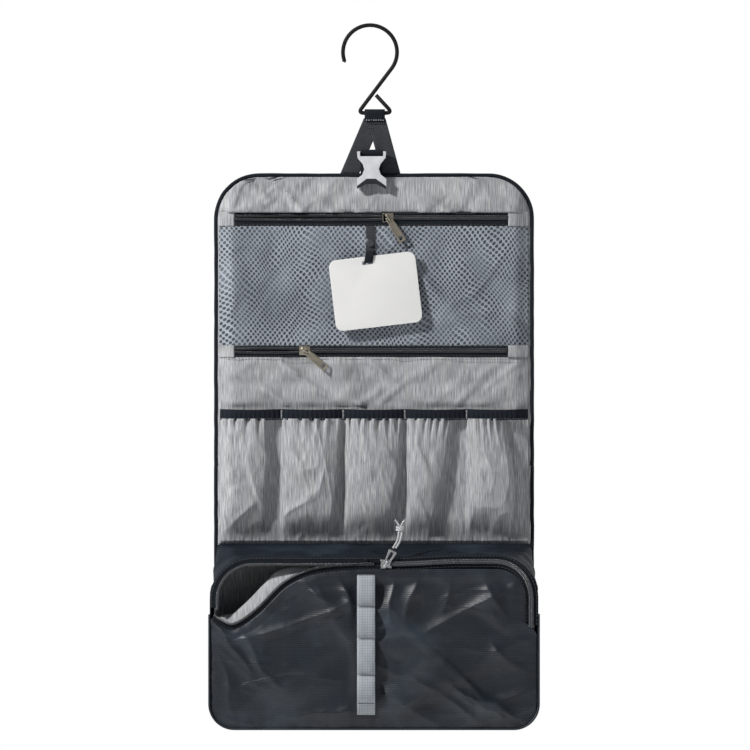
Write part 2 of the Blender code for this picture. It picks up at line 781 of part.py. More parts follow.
def buckle_plug(cloth, hard, group):
    """The plug half on the pouch's back: its webbing, base and tongue, and two sprung prongs."""
    bar_y, bar_z = PLUG_BAR
    radii = (0.0017, 0.0028)
    tail = (0.0014, 0.0026)
    looped_strap("plug_strap", 0.0093, PLUG_BAR, radii, tail, PLUG_TOP, cloth["binding"], group)
    right = [
        (0.0098, 0.0012),
        (0.0122, 0.0010),
        (0.0122, -PRONG_ROOT + GAP),
        (0.0024, -PRONG_ROOT + GAP),
        (0.0020, -0.0330),
    ]
    outline = [(0.0098, -0.0035)] + right
    outline += [(-a, b) for a, b in outline[::-1]]
    outline = [(BUCKLE_X + a, bar_z + b) for a, b in outline]
    bar = cylinder((BUCKLE_X, bar_y, bar_z), (1, 0, 0), 0.0013, 0.0216, 12)
    base = with_solids(prism(outline, bar_y - 0.0022, bar_y + 0.0022), [("UNION", bar)])
    piece("buckle_plug", base, hard["buckle"], group)
    for side, sign in (("left", -1), ("right", 1)):
        root = (BUCKLE_X + sign * 0.0095, bar_y, bar_z - PRONG_ROOT)
        arm = [
            (0.0072, -PRONG_ROOT),
            (0.0112, -PRONG_ROOT),
            (0.0112, -0.0230),
            (0.0128, -0.0250),
            (0.0120, -0.0330),
            (0.0075, -0.0365),
            (0.0078, -0.0300),
        ]
        arm = [(BUCKLE_X + sign * a, bar_z + b) for a, b in arm]
        joint = pivot(f"prong_{side}_squeeze", root, group)
        shape = prism(arm, bar_y - 0.0018, bar_y + 0.0018)
        piece(f"prong_{side}", shape, hard["buckle"], joint)


def build():
    for old in list(bpy.data.objects):
        bpy.data.objects.remove(old)
    cloth = {
        "shell": material("shell_fabric", (0.040, 0.048, 0.058), 0.75),
        "pouch": material("ripstop_fabric", (0.050, 0.057, 0.066), 0.60),
        "lining": material("melange_lining", (0.420, 0.425, 0.435), 0.85),
        "mesh": material("net", (0.190, 0.215, 0.245), 0.80),
        "binding": material("binding_tape", (0.018, 0.022, 0.030), 0.80),
        "webbing": material("hanger_webbing", (0.085, 0.090, 0.095), 0.85),
        "strap": material("daisy_webbing", (0.380, 0.390, 0.400), 0.85),
        "cord": material("pull_cord", (0.480, 0.490, 0.510), 0.70),
    }
    hard = {
        "wire": material("blackened_wire", (0.012, 0.012, 0.013), 0.35, 1.0),
        "brass": material("aged_brass", (0.300, 0.260, 0.180), 0.40, 1.0),
        "steel": material("slider_metal", (0.560, 0.570, 0.580), 0.30, 1.0),
        "buckle": material("buckle_plastic", (0.600, 0.610, 0.630), 0.45),
        "snap": material("snap_stud", (0.300, 0.310, 0.320), 0.40),
        "mirror": material("mirror", (0.850, 0.860, 0.870), 0.05, 1.0),
    }

    hook = pivot("hook", (0, 0, 0))
    route = [(x, 0, z) for x, z in hook_route()]
    wire("hanging_hook", route, WIRE, hard["wire"], hook)
    hanger = pivot("hook_swing", (0.0010, 0, BAR_Z), hook)
    hanger_webbing(cloth["webbing"], hanger)

    upper = pivot("hanger_fold", (0, 0.0012, BAG_TOP), hanger)
    upper_section(cloth, upper)
    straight_zip("upper", UPPER_CHAIN, -0.1559, -0.1672, cloth, upper)
    straight_zip("mid", MID_CHAIN, -0.2688, -0.2779, cloth, upper)
    tail = (-0.0052, -0.0040)
    looped_strap(
        "socket_strap", 0.0093, SOCKET_BAR, (0.0016, 0.0027), tail, BAG_TOP - 0.003, cloth["binding"], upper
    )
    buckle_socket(hard["buckle"], pivot("socket_swing", (BUCKLE_X, *SOCKET_BAR), upper))

    pulls = (("upper", 0.0118, UPPER_CHAIN, -58.0, upper), ("mid", -0.0586, MID_CHAIN, -40.0, upper))
    for name, x, z, lean, parent in pulls:
        slide = pivot(f"{name}_zip_slide", (x, ZIP_Y, z), parent)
        zip_slider(f"{name}_slider", (x, ZIP_Y, z), lean, hard["brass"], slide)
        hinge = (x, ZIP_Y - BAIL_RISE, z)
        swing = pivot(f"{name}_pull_swing", hinge, slide)
        pull_tab(f"{name}_pull_tab", hinge, lean, hard["brass"], swing)

    strap = pivot("mirror_strap_swing", (-0.0031, -0.0088, -0.1672), upper)
    mirror(cloth, hard, strap, pivot("mirror_swing", (-0.0031, -0.0130, -0.1945), strap))

    middle = pivot("fold_upper", (0, -0.0034, FOLD_UPPER), upper)
    middle_section(cloth, middle)
    pouch = pivot("fold_lower", (0, -0.0030, FOLD_LOWER), middle)
    pouch_shell(cloth, pouch)
    pouch_front(cloth, pouch)
    main_zip(cloth, pouch)
    daisy_strap(cloth["strap"], pouch)

    place = (0.0101, MAIN_Y, MAIN_CHAIN)
    slide = pivot("main_zip_slide", place, pouch)
    zip_slider("main_slider", place, PULL_LEAN, hard["steel"], slide)
    hinge = (place[0], MAIN_Y - BAIL_RISE, place[2])
    main_pull(hard, cloth["cord"], hinge, pivot("main_pull_swing", hinge, slide))

    buckle_plug(cloth, hard, pivot("plug_swing", (BUCKLE_X, 0.0020, PLUG_TOP), pouch))


build()
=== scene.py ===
"""Hanging toiletry bag, opened flat below its hook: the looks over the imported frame."""

import json
import math

import bmesh
import bpy
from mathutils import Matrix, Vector, noise


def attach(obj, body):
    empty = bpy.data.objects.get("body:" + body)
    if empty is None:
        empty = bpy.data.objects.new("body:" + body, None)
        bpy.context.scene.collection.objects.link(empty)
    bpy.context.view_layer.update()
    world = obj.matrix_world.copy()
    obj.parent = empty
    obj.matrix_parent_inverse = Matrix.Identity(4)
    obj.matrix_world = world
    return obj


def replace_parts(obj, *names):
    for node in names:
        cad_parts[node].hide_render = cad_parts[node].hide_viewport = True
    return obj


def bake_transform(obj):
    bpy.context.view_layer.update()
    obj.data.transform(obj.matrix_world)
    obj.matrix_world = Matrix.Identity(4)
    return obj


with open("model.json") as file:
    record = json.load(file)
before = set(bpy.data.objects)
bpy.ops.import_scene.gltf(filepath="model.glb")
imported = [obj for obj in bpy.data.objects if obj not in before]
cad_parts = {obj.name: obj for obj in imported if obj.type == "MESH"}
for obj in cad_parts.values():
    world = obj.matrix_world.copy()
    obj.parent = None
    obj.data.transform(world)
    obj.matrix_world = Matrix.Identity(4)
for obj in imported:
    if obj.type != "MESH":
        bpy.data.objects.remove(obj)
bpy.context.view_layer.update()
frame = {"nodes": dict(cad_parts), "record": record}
BODY_OF = {n: b for b, ns in frame["record"]["behaviour"]["bodies"].items() for n in ns}

# The frame's main sizes, in metres.
HALF, TOP, BASE = 0.1350, -0.1230, -0.5904
TOP_CORNER, BASE_CORNER = 0.0380, 0.0210
FOLD_UPPER, FOLD_LOWER, SPLIT = -0.3000, -0.4355, -0.3700
BINDING, INNER = 0.0034, 0.1313
SEAM, LAYER = -0.0030, -0.0076
UPPER_CHAIN, MID_CHAIN, MAIN_CHAIN = -0.1605, -0.2725, -0.4520
TAPE_LEFT, TAPE_RIGHT, ZIP_Y = -0.1177, 0.1130, -0.0075
DIVIDERS, POCKET_PITCH = (-0.1300, -0.0780, -0.0260, 0.0260, 0.0780, 0.1300), 0.052
BAND_TOP, BAND_BOTTOM, POCKET_BOTTOM = -0.3219, -0.3308, -0.4335
POUCH_HALF, FRONT_HALF, STRAP_X = 0.1390, 0.1372, -0.0067
POUCH_FRONT, BULGE, MAIN_Y = -0.0550, 0.0070, -0.0558
HEAD_CORNER, ZIP_CORNER = 0.0245, 0.0300
ZIP_SIDE = POUCH_HALF - 0.0070
ZIP_TURN = ZIP_SIDE - ZIP_CORNER
STITCHES = (-0.4615, -0.4880, -0.5147, -0.5455, -0.5682, -0.5784)
# How far the opened edge of the pouch drops below the zip, by x.
MOUTH = ((-0.138, -0.0400), (-0.128, -0.0475), (-0.118, -0.0505), (-0.100, -0.0390),
         (-0.075, -0.0150), (-0.050, -0.0040), (-0.010, 0.0))
BACK = Vector((0, 1, 0))


# ---- node helpers


class Paint:
    """A material with short calls for the nodes that it is made of."""

    def __init__(self, name, colour, rough, metal=0.0, **sockets):
        self.made = bpy.data.materials.new(name)
        self.made.use_nodes = True
        self.tree = self.made.node_tree
        self.shader = self.tree.nodes["Principled BSDF"]
        self.made.diffuse_color = (*colour, 1.0)
        self.put(self.shader.inputs["Base Color"], (*colour, 1.0))
        self.put(self.shader.inputs["Roughness"], rough)
        self.put(self.shader.inputs["Metallic"], metal)
        for socket, value in sockets.items():
            self.put(self.shader.inputs[socket.replace("_", " ")], value)
        self.where = self.tree.nodes.new("ShaderNodeTexCoord").outputs["Object"]

    def put(self, socket, value):
        if isinstance(value, bpy.types.NodeSocket):
            self.tree.links.new(value, socket)
        else:
            socket.default_value = value

    def stretched(self, scale, turn=(0, 0, 0)):
        node = self.tree.nodes.new("ShaderNodeMapping")
        self.put(node.inputs["Vector"], self.where)
        node.inputs["Scale"].default_value = scale
        node.inputs["Rotation"].default_value = turn
        return node.outputs["Vector"]

    def noise(self, scale, detail=3.0, rough=0.5):
        """Noise whose grains measure 1/scale along each axis, per metre."""
        node = self.tree.nodes.new("ShaderNodeTexNoise")
        self.put(node.inputs["Vector"], self.stretched(scale))
        node.inputs["Scale"].default_value = 1.0
        node.inputs["Detail"].default_value = detail
        node.inputs["Roughness"].default_value = rough
        return node.outputs["Fac"]

    def wave(self, axis, pitch, wobble=0.0, turn=(0, 0, 0)):
        """Ribs with a pitch in metres along an axis."""
        node = self.tree.nodes.new("ShaderNodeTexWave")
        node.bands_direction = axis
        self.put(node.inputs["Vector"], self.stretched((1, 1, 1), turn))
        node.inputs["Scale"].default_value = 0.314159 / pitch
        node.inputs["Distortion"].default_value = wobble
        node.inputs["Detail"].default_value = 1.0
        node.inputs["Detail Scale"].default_value = 1.0
        return node.outputs["Fac"]

    def maths(self, kind, a, b=0.0):
        node = self.tree.nodes.new("ShaderNodeMath")
        node.operation = kind
        self.put(node.inputs[0], a)
        self.put(node.inputs[1], b)
        return node.outputs[0]

    def ramp(self, fac, *stops):
        node = self.tree.nodes.new("ShaderNodeValToRGB")
        while len(node.color_ramp.elements) < len(stops):
            node.color_ramp.elements.new(0.5)
        for element, (place, colour) in zip(node.color_ramp.elements, stops):
            element.position = place
            element.color = (*(colour if isinstance(colour, tuple) else (colour,) * 3), 1.0)
        self.put(node.inputs["Fac"], fac)
        return node.outputs["Color"]

    def mix(self, fac, a, b):
        node = self.tree.nodes.new("ShaderNodeMix")
        node.data_type = "RGBA"
        self.put(node.inputs[0], fac)
        self.put(node.inputs[6], a if isinstance(a, bpy.types.NodeSocket) else (*a, 1.0))
        self.put(node.inputs[7], b if isinstance(b, bpy.types.NodeSocket) else (*b, 1.0))
        return node.outputs[2]

    def colour(self, value):
        self.put(self.shader.inputs["Base Color"], value)

    def rough(self, value):
        self.put(self.shader.inputs["Roughness"], value)

    def bump(self, *layers):
        """Height layers, each with its depth in metres, stacked on one another."""
        below = None
        for height, depth in layers:
            node = self.tree.nodes.new("ShaderNodeBump")
            node.inputs["Strength"].default_value = 1.0
            node.inputs["Distance"].default_value = depth
            self.put(node.inputs["Height"], height)
            if below:
                self.put(node.inputs["Normal"], below)
            below = node.outputs["Normal"]
        self.put(self.shader.inputs["Normal"], below)


def melange():
    """Light grey cloth woven from two shades of yarn, with fine darker hairlines up it."""
    paint = Paint("lining_melange", (0.30, 0.305, 0.315), 0.82, Sheen_Weight=0.12,
                  Sheen_Roughness=0.5)
    slubs = paint.noise((1750, 0, 70), 3.0, 0.6)
    hair = paint.noise((2600, 0, 160), 2.0)
    cool, warm = paint.noise((230, 0, 12), 3.0), paint.noise((60, 0, 10), 2.0)
    yarn = paint.ramp(slubs, (0.36, (0.112, 0.120, 0.134)), (0.50, (0.268, 0.275, 0.290)),
                      (0.62, (0.440, 0.446, 0.456)))
    yarn = paint.mix(paint.maths("MULTIPLY", hair, 0.40), yarn, (0.20, 0.204, 0.215))
    yarn = paint.mix(paint.ramp(cool, (0.50, 0.0), (0.75, 0.50)), yarn, (0.215, 0.240, 0.285))
    paint.colour(paint.mix(paint.ramp(warm, (0.48, 0.0), (0.75, 0.25)), yarn, (0.35, 0.340, 0.325)))
    weave = paint.maths("MULTIPLY", paint.wave("X", 0.0006), paint.wave("Z", 0.0006))
    paint.bump((weave, 0.00008), (slubs, 0.00008))
    return paint.made


def ripstop(name, rough, gloss):
    """Charcoal nylon with fine ribs across it, and broad paler patches painted in as sheen."""
    paint = Paint(name, (0.012, 0.015, 0.020), rough, Specular_IOR_Level=gloss)
    rib = paint.wave("Z", 0.0017, 0.3)
    mottle = paint.noise((60, 60, 45), 4.0, 0.6)
    tone = paint.ramp(mottle, (0.32, (0.0030, 0.0056, 0.0100)), (0.70, (0.0075, 0.0120, 0.0185)))
    # Painted sheen: broad paler patches mixed into the cloth's colour.
    painted_sheen = paint.ramp(paint.noise((17, 17, 21), 3.0, 0.55), (0.50, 0.0), (0.76, 0.70))
    tone = paint.mix(painted_sheen, tone, (0.030, 0.041, 0.056))
    lines = paint.maths("MULTIPLY", paint.maths("POWER", rib, 5.0), 0.22)
    paint.colour(paint.mix(lines, tone, (0.050, 0.057, 0.067)))
    paint.rough(paint.ramp(mottle, (0.3, rough + 0.06), (0.7, rough - 0.08)))
    grain = paint.noise((2600, 2600, 1500), 2.0)
    paint.bump((rib, 0.00005), (grain, 0.00003), (paint.noise((120, 70, 160), 3.0), 0.00030))
    return paint.made


def woven(name, dark, light, pitch, rough=0.8, depth=0.00014, slant=0.0, grid=0.0, haze=0.15):
    """Webbing or tape: ribs across it, finer ones along it, and worn paler spots."""
    paint = Paint(name, light, rough, Sheen_Weight=haze, Sheen_Roughness=0.5,
                  Specular_IOR_Level=haze + 0.1)
    ribs = paint.wave("Z", pitch, 0.2, (0, slant, 0))
    along = paint.wave("X", pitch * 0.9, 0.2, (0, slant, 0))
    height = paint.maths("MULTIPLY", ribs, along)
    worn = paint.maths("MULTIPLY", paint.noise((140, 140, 90), 3.0), 0.5)
    tint = paint.mix(height, paint.mix(worn, dark, light), light)
    if grid:
        lines = paint.maths("MAXIMUM", paint.maths("POWER", paint.wave("Z", grid), 7.0),
                            paint.maths("POWER", paint.wave("X", grid), 7.0))
        tint = paint.mix(paint.maths("MULTIPLY", lines, 0.75), tint, dark)
    paint.colour(tint)
    paint.bump((height, depth), (paint.noise((1800, 1800, 1800), 2.0), 0.00004))
    return paint.made


def net():
    """Knitted net: staggered oval holes between threads, the holes painted dark as shade on the
    lining behind, lighter in patches.
    """
    paint = Paint("pocket_net", (0.16, 0.18, 0.21), 0.75, Sheen_Weight=0.25, Sheen_Roughness=0.45)
    split = paint.tree.nodes.new("ShaderNodeSeparateXYZ")
    paint.put(split.inputs[0], paint.where)
    pull = paint.maths("SUBTRACT", paint.noise((24, 0, 18), 2.0), 0.5)
    pull = paint.maths("MULTIPLY", pull, 0.016)

    def lattice(shift):
        """How far a point is from the nearest hole of one of the two grids of holes."""
        parts = []
        for socket, size in (("X", 0.0043), ("Z", 0.0050)):
            drawn = paint.maths("ADD", split.outputs[socket], pull)
            place = paint.maths("ADD", paint.maths("DIVIDE", drawn, size), shift + 100.0)
            off = paint.maths("SUBTRACT", paint.maths("FRACT", place), 0.5)
            parts.append(paint.maths("MULTIPLY", off, off))
        return paint.maths("SQRT", paint.maths("ADD", *parts))

    away = paint.maths("MINIMUM", lattice(0.0), lattice(0.5))
    thread = paint.ramp(away, (0.21, 0.0), (0.29, 1.0))
    drift = paint.noise((26, 0, 20), 3.0)
    yarn = paint.ramp(drift, (0.30, (0.150, 0.172, 0.208)), (0.72, (0.275, 0.305, 0.350)))
    # Patches where the painted shade in the holes is lighter.
    lighter_hole_shade = paint.ramp(paint.noise((38, 0, 30), 3.0), (0.45, 0.0), (0.75, 0.55))
    shown = paint.maths("MAXIMUM", thread, lighter_hole_shade)
    # The holes' dark colour is painted shade of the lining behind the net.
    paint.colour(paint.mix(shown, (0.022, 0.027, 0.035), yarn))
    paint.bump((thread, 0.00045), (paint.noise((2000, 2000, 2000), 2.0), 0.00005))
    return paint.made


def metal(name, colour, rough, worn):
    """Plated metal, rubbed brighter in places."""
    paint = Paint(name, colour, rough, 1.0)
    rub = paint.noise((420, 420, 420), 4.0, 0.6)
    paint.colour(paint.mix(rub, colour, worn))
    paint.rough(paint.ramp(rub, (0.3, rough + 0.175), (0.7, rough)))
    paint.bump((paint.noise((1500, 1500, 300), 3.0), 0.00003))
    return paint.made


def moulded(name, colour, rough, speckle=0.12):
    """Moulded plastic with a fine texture."""
    paint = Paint(name, colour, rough, Coat_Weight=0.12, Coat_Roughness=0.35)
    darker = tuple(c * (1 - speckle * 2) for c in colour)
    paint.colour(paint.mix(paint.noise((160, 160, 160), 3.0), darker, colour))
    paint.bump((paint.noise((3200, 3200, 3200), 2.0), 0.00003))
    return paint.made


def hazed(paint, grain, dark, light, smooth, dull):
    """A plain surface with a faint haze in its colour and in its shine."""
    haze = paint.noise((grain, grain, grain), 3.0)
    paint.colour(paint.mix(haze, dark, light))
    paint.rough(paint.ramp(haze, smooth, dull))
    return paint.made


def braid():
    """Thin cord, braided on the slant."""
    paint = Paint("cord_braid", (0.42, 0.44, 0.46), 0.75, Sheen_Weight=0.3)
    twist = paint.wave("DIAGONAL", 0.0011, 0.3)
    paint.colour(paint.mix(twist, (0.16, 0.17, 0.185), (0.56, 0.57, 0.58)))
    paint.bump((twist, 0.00018), (paint.noise((3000, 3000, 3000), 2.0), 0.00005))
    return paint.made


LOOK = {
    "lining": melange(),
    "ripstop": ripstop("pouch_ripstop", 0.50, 0.36),
    "ripstop_side": ripstop("pouch_side_ripstop", 0.72, 0.10),
    "net": net(),
    "shell": woven("back_shell", (0.007, 0.009, 0.012), (0.020, 0.024, 0.030), 0.0007, 0.62,
                   haze=0.03),
    "binding": woven("binding_tape", (0.004, 0.006, 0.009), (0.012, 0.015, 0.021), 0.0009,
                     haze=0.02),
    "elastic": woven("elastic_tape", (0.004, 0.006, 0.010), (0.012, 0.016, 0.024), 0.0008,
                     depth=0.0002, haze=0.02),
    "webbing": woven("hanger_weave", (0.014, 0.016, 0.020), (0.062, 0.066, 0.075), 0.0014,
                     depth=0.0003, slant=0.4, haze=0.03),
    "daisy": woven("daisy_weave", (0.17, 0.19, 0.215), (0.46, 0.49, 0.53), 0.0007, grid=0.0022),
    "beads": moulded("main_zip_coil", (0.048, 0.053, 0.061), 0.30),
    "coil": moulded("zip_coil", (0.016, 0.019, 0.024), 0.30),
    "wire": hazed(Paint("hook_paint", (0.006, 0.006, 0.007), 0.6, Specular_IOR_Level=0.12), 90,
                  (0.004, 0.004, 0.005), (0.011, 0.011, 0.012), (0.3, 0.55), (0.7, 0.68)),
    "buckle": moulded("buckle_plastic", (0.56, 0.575, 0.60), 0.24, 0.16),
    "brass": metal("aged_brass", (0.26, 0.235, 0.19), 0.30, (0.58, 0.53, 0.44)),
    "steel": metal("plated_steel", (0.42, 0.43, 0.45), 0.28, (0.72, 0.73, 0.75)),
    "snap": moulded("snap_dark", (0.045, 0.048, 0.055), 0.3),
    "mirror": hazed(Paint("mirror_polished", (0.72, 0.72, 0.72), 0.2, 0.12, Coat_Weight=0.4,
                          Coat_Roughness=0.1), 35, (0.655, 0.655, 0.655), (0.70, 0.70, 0.70),
                    (0.3, 0.14), (0.8, 0.26)),
    "cord": braid(),
    "thread": woven("thread_light", (0.30, 0.31, 0.33), (0.62, 0.63, 0.65), 0.0004),
    "dark_thread": woven("thread_dark", (0.012, 0.014, 0.017), (0.05, 0.055, 0.062), 0.0004),
    "grey_thread": woven("thread_grey", (0.10, 0.105, 0.115), (0.22, 0.23, 0.25), 0.0004),
}


# ---- shape helpers


def smoothstep(low, high, x):
    t = min(max((x - low) / (high - low), 0.0), 1.0)
    return t * t * (3 - 2 * t)


def between(start, end, t):
    return start + (end - start) * t


def through(knots, x):
    """A smooth curve through knots, as Catmull-Rom pieces."""
    n = len(knots)
    i = next((k for k in range(n - 2) if x < knots[k + 1][0]), n - 2)
    (x1, y1), (x2, y2) = knots[i], knots[i + 1]
    before, after = knots[max(i - 1, 0)], knots[min(i + 2, n - 1)]
    t = min(max((x - x1) / (x2 - x1), 0.0), 1.0)
    m1 = (y2 - before[1]) / (x2 - before[0]) * (x2 - x1)
    m2 = (after[1] - y1) / (after[0] - x1) * (x2 - x1)
    return ((2 * t**3 - 3 * t**2 + 1) * y1 + (t**3 - 2 * t**2 + t) * m1
            + (3 * t**2 - 2 * t**3) * y2 + (t**3 - t**2) * m2)


def paired(ring):
    """Each item of a closed ring with the one after it."""
    ring = list(ring)
    return zip(ring, ring[1:] + ring[:1])


def rumple(x, z, wide, tall, seed):
    """Smooth noise from -1 to 1, with grains of a width and a height in metres."""
    return noise.noise((x / wide, z / tall, seed * 7.31))


def crumple(x, z, wide, tall, seed, sharp=4.0):
    """Cloth bent along lines: mostly flat, with ridges where the field turns over."""
    bend = rumple(x, z, wide, tall, seed)
    over = rumple(x, z, wide * 1.8, tall * 1.8, seed + 3)
    return max(0.0, 1 - abs(bend) * sharp) ** 1.6 * smoothstep(-0.12, 0.22, over) + 0.9 * bend


def arc(cx, cz, radius, start, end, steps):
    """Points round a centre, from one angle to another in degrees."""
    turns = [math.radians(start + (end - start) * i / steps) for i in range(steps + 1)]
    return [(cx + radius * math.cos(t), cz + radius * math.sin(t)) for t in turns]


def half_width(z, inset):
    """Half the bag's width at a height, inside an inset, through its rounded corners."""
    half = HALF - inset
    ends = (TOP - inset, TOP_CORNER - inset, 1), (BASE + inset, BASE_CORNER - inset, -1)
    for edge, corner, sign in ends:
        past = sign * (z - edge) + corner
        if past > 0:
            return half - corner + math.sqrt(max(corner**2 - past**2, 0.0))
    return half


def edge_blend(x):
    """0 at the side seams, rising to 1 within 13 mm of them."""
    return smoothstep(0.0, 0.013, INNER - abs(x))


def front_layer(x, rise=1.0):
    """Where the front cloth lies, from front to back, pulled down at the side seams."""
    return SEAM + (LAYER - SEAM) * rise * edge_blend(x)


def add(name, verts, faces, look, body=None, smooth=True):
    """A mesh piece, with its normals outward."""
    bm = bmesh.new()
    made = [bm.verts.new(v) for v in verts]
    for face in faces:
        bm.faces.new([made[i] for i in face])
    bmesh.ops.recalc_face_normals(bm, faces=bm.faces)
    for face in bm.faces:
        face.smooth = smooth
    return settle(bm, name, look, body)


def settle(bm, name, look, body):
    data = bpy.data.meshes.new(name)
    bm.to_mesh(data)
    bm.free()
    return dress(bpy.data.objects.new(name, data), look, body)


def stand(obj):
    bpy.context.scene.collection.objects.link(obj)


def dress(obj, look, body):
    """Its look and the body that it rides, where one body carries it."""
    obj.data.materials.clear()
    obj.data.materials.append(LOOK[look])
    stand(obj)
    if body:
        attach(obj, body)
    return obj


def cloth(name, cols, rows, place, thick, look, body=None):
    """A sheet of cloth over place(u, v), closed at the back a thickness behind its face."""
    front = [Vector(place(i / cols, j / rows)) for j in range(rows + 1) for i in range(cols + 1)]
    verts = front + [p + Vector((0, thick, 0)) for p in front]
    count, wide = len(front), cols + 1
    faces = []
    for a in (j * wide + i for j in range(rows) for i in range(cols)):
        quad = (a, a + 1, a + 1 + wide, a + wide)
        faces += [quad, tuple(q + count for q in quad[::-1])]
    rim = list(range(wide)) + [j * wide + cols for j in range(1, rows + 1)]
    rim += [rows * wide + i for i in range(cols - 1, -1, -1)]
    rim += [j * wide for j in range(rows - 1, 0, -1)]
    faces += [(a, b, b + count, a + count) for a, b in paired(rim)]
    return add(name, verts, faces, look, body)


def ring(half, thick, rounded):
    """The outline of a strap's section: flat with eased edges, or rounded."""
    if rounded:
        power = 0.7 if half != thick else 1.0
        turns = [2 * math.pi * (i + 0.5) / 16 for i in range(16)]
        return [(half * math.copysign(abs(math.cos(t)) ** power, math.cos(t)),
                 thick * math.copysign(abs(math.sin(t)) ** power, math.sin(t))) for t in turns]
    e = min(thick, half) * 0.6
    face = [((half - e) * s, thick) for s in (-1, -0.5, 0, 0.5, 1)]
    return [(-half, thick - e)] + face + [(half, thick - e), (half, e - thick)] + \
        [(-a, -b) for a, b in face] + [(-half, e - thick)]


def sweep(name, path, side, half, thick, look, body=None, rounded=False):
    """A strap or tape along a path: half its width along side, half its thickness across that."""
    path, side = [Vector(p) for p in path], Vector(side).normalized()
    outline = ring(half, thick, rounded)
    verts, faces, n = [], [], len(outline)
    for i, p in enumerate(path):
        tangent = (path[min(i + 1, len(path) - 1)] - path[max(i - 1, 0)]).normalized()
        normal = tangent.cross(side).normalized()
        across = normal.cross(tangent)
        verts += [p + across * a + normal * b for a, b in outline]
    for base in range(0, len(verts) - n, n):
        faces += [(base + a, base + b, base + b + n, base + a + n) for a, b in paired(range(n))]
    faces += [tuple(range(n)), tuple(range(len(verts) - 1, len(verts) - 1 - n, -1))]
    return add(name, verts, faces, look, body)


def resample(path, pitch):
    """Points a pitch apart along a path, each with the path's direction there."""
    path = [Vector(p) for p in path]
    found, need = [], pitch / 2
    for a, b in zip(path, path[1:]):
        run = (b - a).length
        while need <= run and run > 0:
            found.append((a + (b - a) * (need / run), (b - a).normalized()))
            need += pitch
        need -= run
    return found


def stitches(name, paths, look, body=None, pitch=0.0030, length=0.0021, radius=0.00028):
    """Rows of stitches lying on a surface, each a short tapered thread."""
    verts, faces = [], []
    spokes = [(math.cos(t), math.sin(t)) for t in (2 * math.pi * a / 5 for a in range(5))]
    for centre, along in (knot for path in paths for knot in resample(path, pitch)):
        side = along.cross(BACK)
        side = side.normalized() if side.length > 0.1 else Vector((1, 0, 0))
        up, base = along.cross(side), len(verts)
        for t, r in ((-0.5, 0.35), (-0.25, 1.0), (0.25, 1.0), (0.5, 0.35)):
            middle = centre + along * length * t
            verts += [middle + (side * c + up * s) * radius * r for c, s in spokes]
        for low in (base, base + 5, base + 10):
            faces += [(low + a, low + b, low + 5 + b, low + 5 + a) for a, b in paired(range(5))]
        faces += [tuple(base + a for a in range(5)), tuple(base + 19 - a for a in range(5))]
    return add(name, verts, faces, look, body)


def chain(name, path, spread, body, look="coil"):
    """Half a zip's coil along a path: teeth on both sides, or on one where spread is set."""
    verts, faces = [], []
    for centre, along in resample(path, 0.00115):
        across = along.cross(BACK).normalized()
        a, b, c = along * 0.00042, across * 0.0012, Vector((0, 0.00062, 0))
        for side in (-1, 1) if spread == 0 else (spread,):
            gap = across * side * (0.0009 if spread == 0 else 0.0002)
            middle, base = centre + gap + along * (0.0003 * side), len(verts)
            for s in (-1, 1):
                for t, k in ((-1, 0.55), (-0.45, 1.0), (0.45, 1.0), (1, 0.55)):
                    verts += [middle + a * s + b * t - c * k, middle + a * s + b * t + c * k]
            for s in (0, 8):
                ladder = [(i, i + 1, i + 3, i + 2) for i in range(base + s, base + s + 6, 2)]
                faces += ladder if s else [q[::-1] for q in ladder]
            for i, j in paired((0, 2, 4, 6, 7, 5, 3, 1)):
                faces.append((base + i, base + j, base + 8 + j, base + 8 + i))
    return add(name, verts, faces, look, body)


def refined(node, look, bevel):
    """A copy of a CAD node with eased edges, which stands for it."""
    bm = bmesh.new()
    bm.from_mesh(frame["nodes"][node].data)
    bmesh.ops.remove_doubles(bm, verts=bm.verts, dist=2e-6)
    bmesh.ops.join_triangles(bm, faces=bm.faces, angle_face_threshold=math.radians(25),
                             angle_shape_threshold=math.radians(60))
    bmesh.ops.dissolve_limit(bm, angle_limit=math.radians(1), verts=bm.verts, edges=bm.edges)
    sharp = [e for e in bm.edges
             if len(e.link_faces) == 2 and e.calc_face_angle(0) > math.radians(35)]
    bmesh.ops.bevel(bm, geom=sharp, offset=bevel, segments=3, profile=0.6, affect="EDGES",
                    clamp_overlap=True)
    for face in bm.faces:
        face.smooth = True
    for edge in bm.edges:
        edge.smooth = len(edge.link_faces) < 2 or edge.calc_face_angle(0) < math.radians(40)
    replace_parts(settle(bm, node + "_look", look, BODY_OF[node]), node)


# ---- hook and hanger

BAR_Z = -0.0721
WIRE, CROOK, CROOK_X = 0.0017, 0.0228, -0.0034


def bent(points, radius, steps):
    """A line through points in a plane, its corners rounded."""
    points = [Vector(p) for p in points]
    made = [points[0]]
    for before, corner, after in zip(points, points[1:], points[2:]):
        to_a, to_b = (before - corner).normalized(), (after - corner).normalized()
        reach = radius / math.tan(to_a.angle(to_b) / 2)
        start, end = corner + to_a * reach, corner + to_b * reach
        for i in range(steps + 1):
            t = i / steps
            made.append(start.lerp(corner, t).lerp(corner.lerp(end, t), t))
    return made + [points[-1]]


crook_z = WIRE - math.sqrt(CROOK**2 - CROOK_X**2)
crook = arc(CROOK_X, crook_z, CROOK, 198, -37, 70)
wire_route = [(crook[0][0] - 0.0006, crook[0][1] - 0.0012)] + crook
triangle = [crook[-1], (-0.0135, BAR_Z), (0.0156, BAR_Z), (0.0016, -0.0570)]
wire_route += [tuple(p) for p in bent(triangle, 0.0025, 10)[1:]]
hook_wire = sweep("hook_wire", [(x, 0, z) for x, z in wire_route], BACK, WIRE, WIRE, "wire",
                  "hook", True)
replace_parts(hook_wire, "hanging_hook")


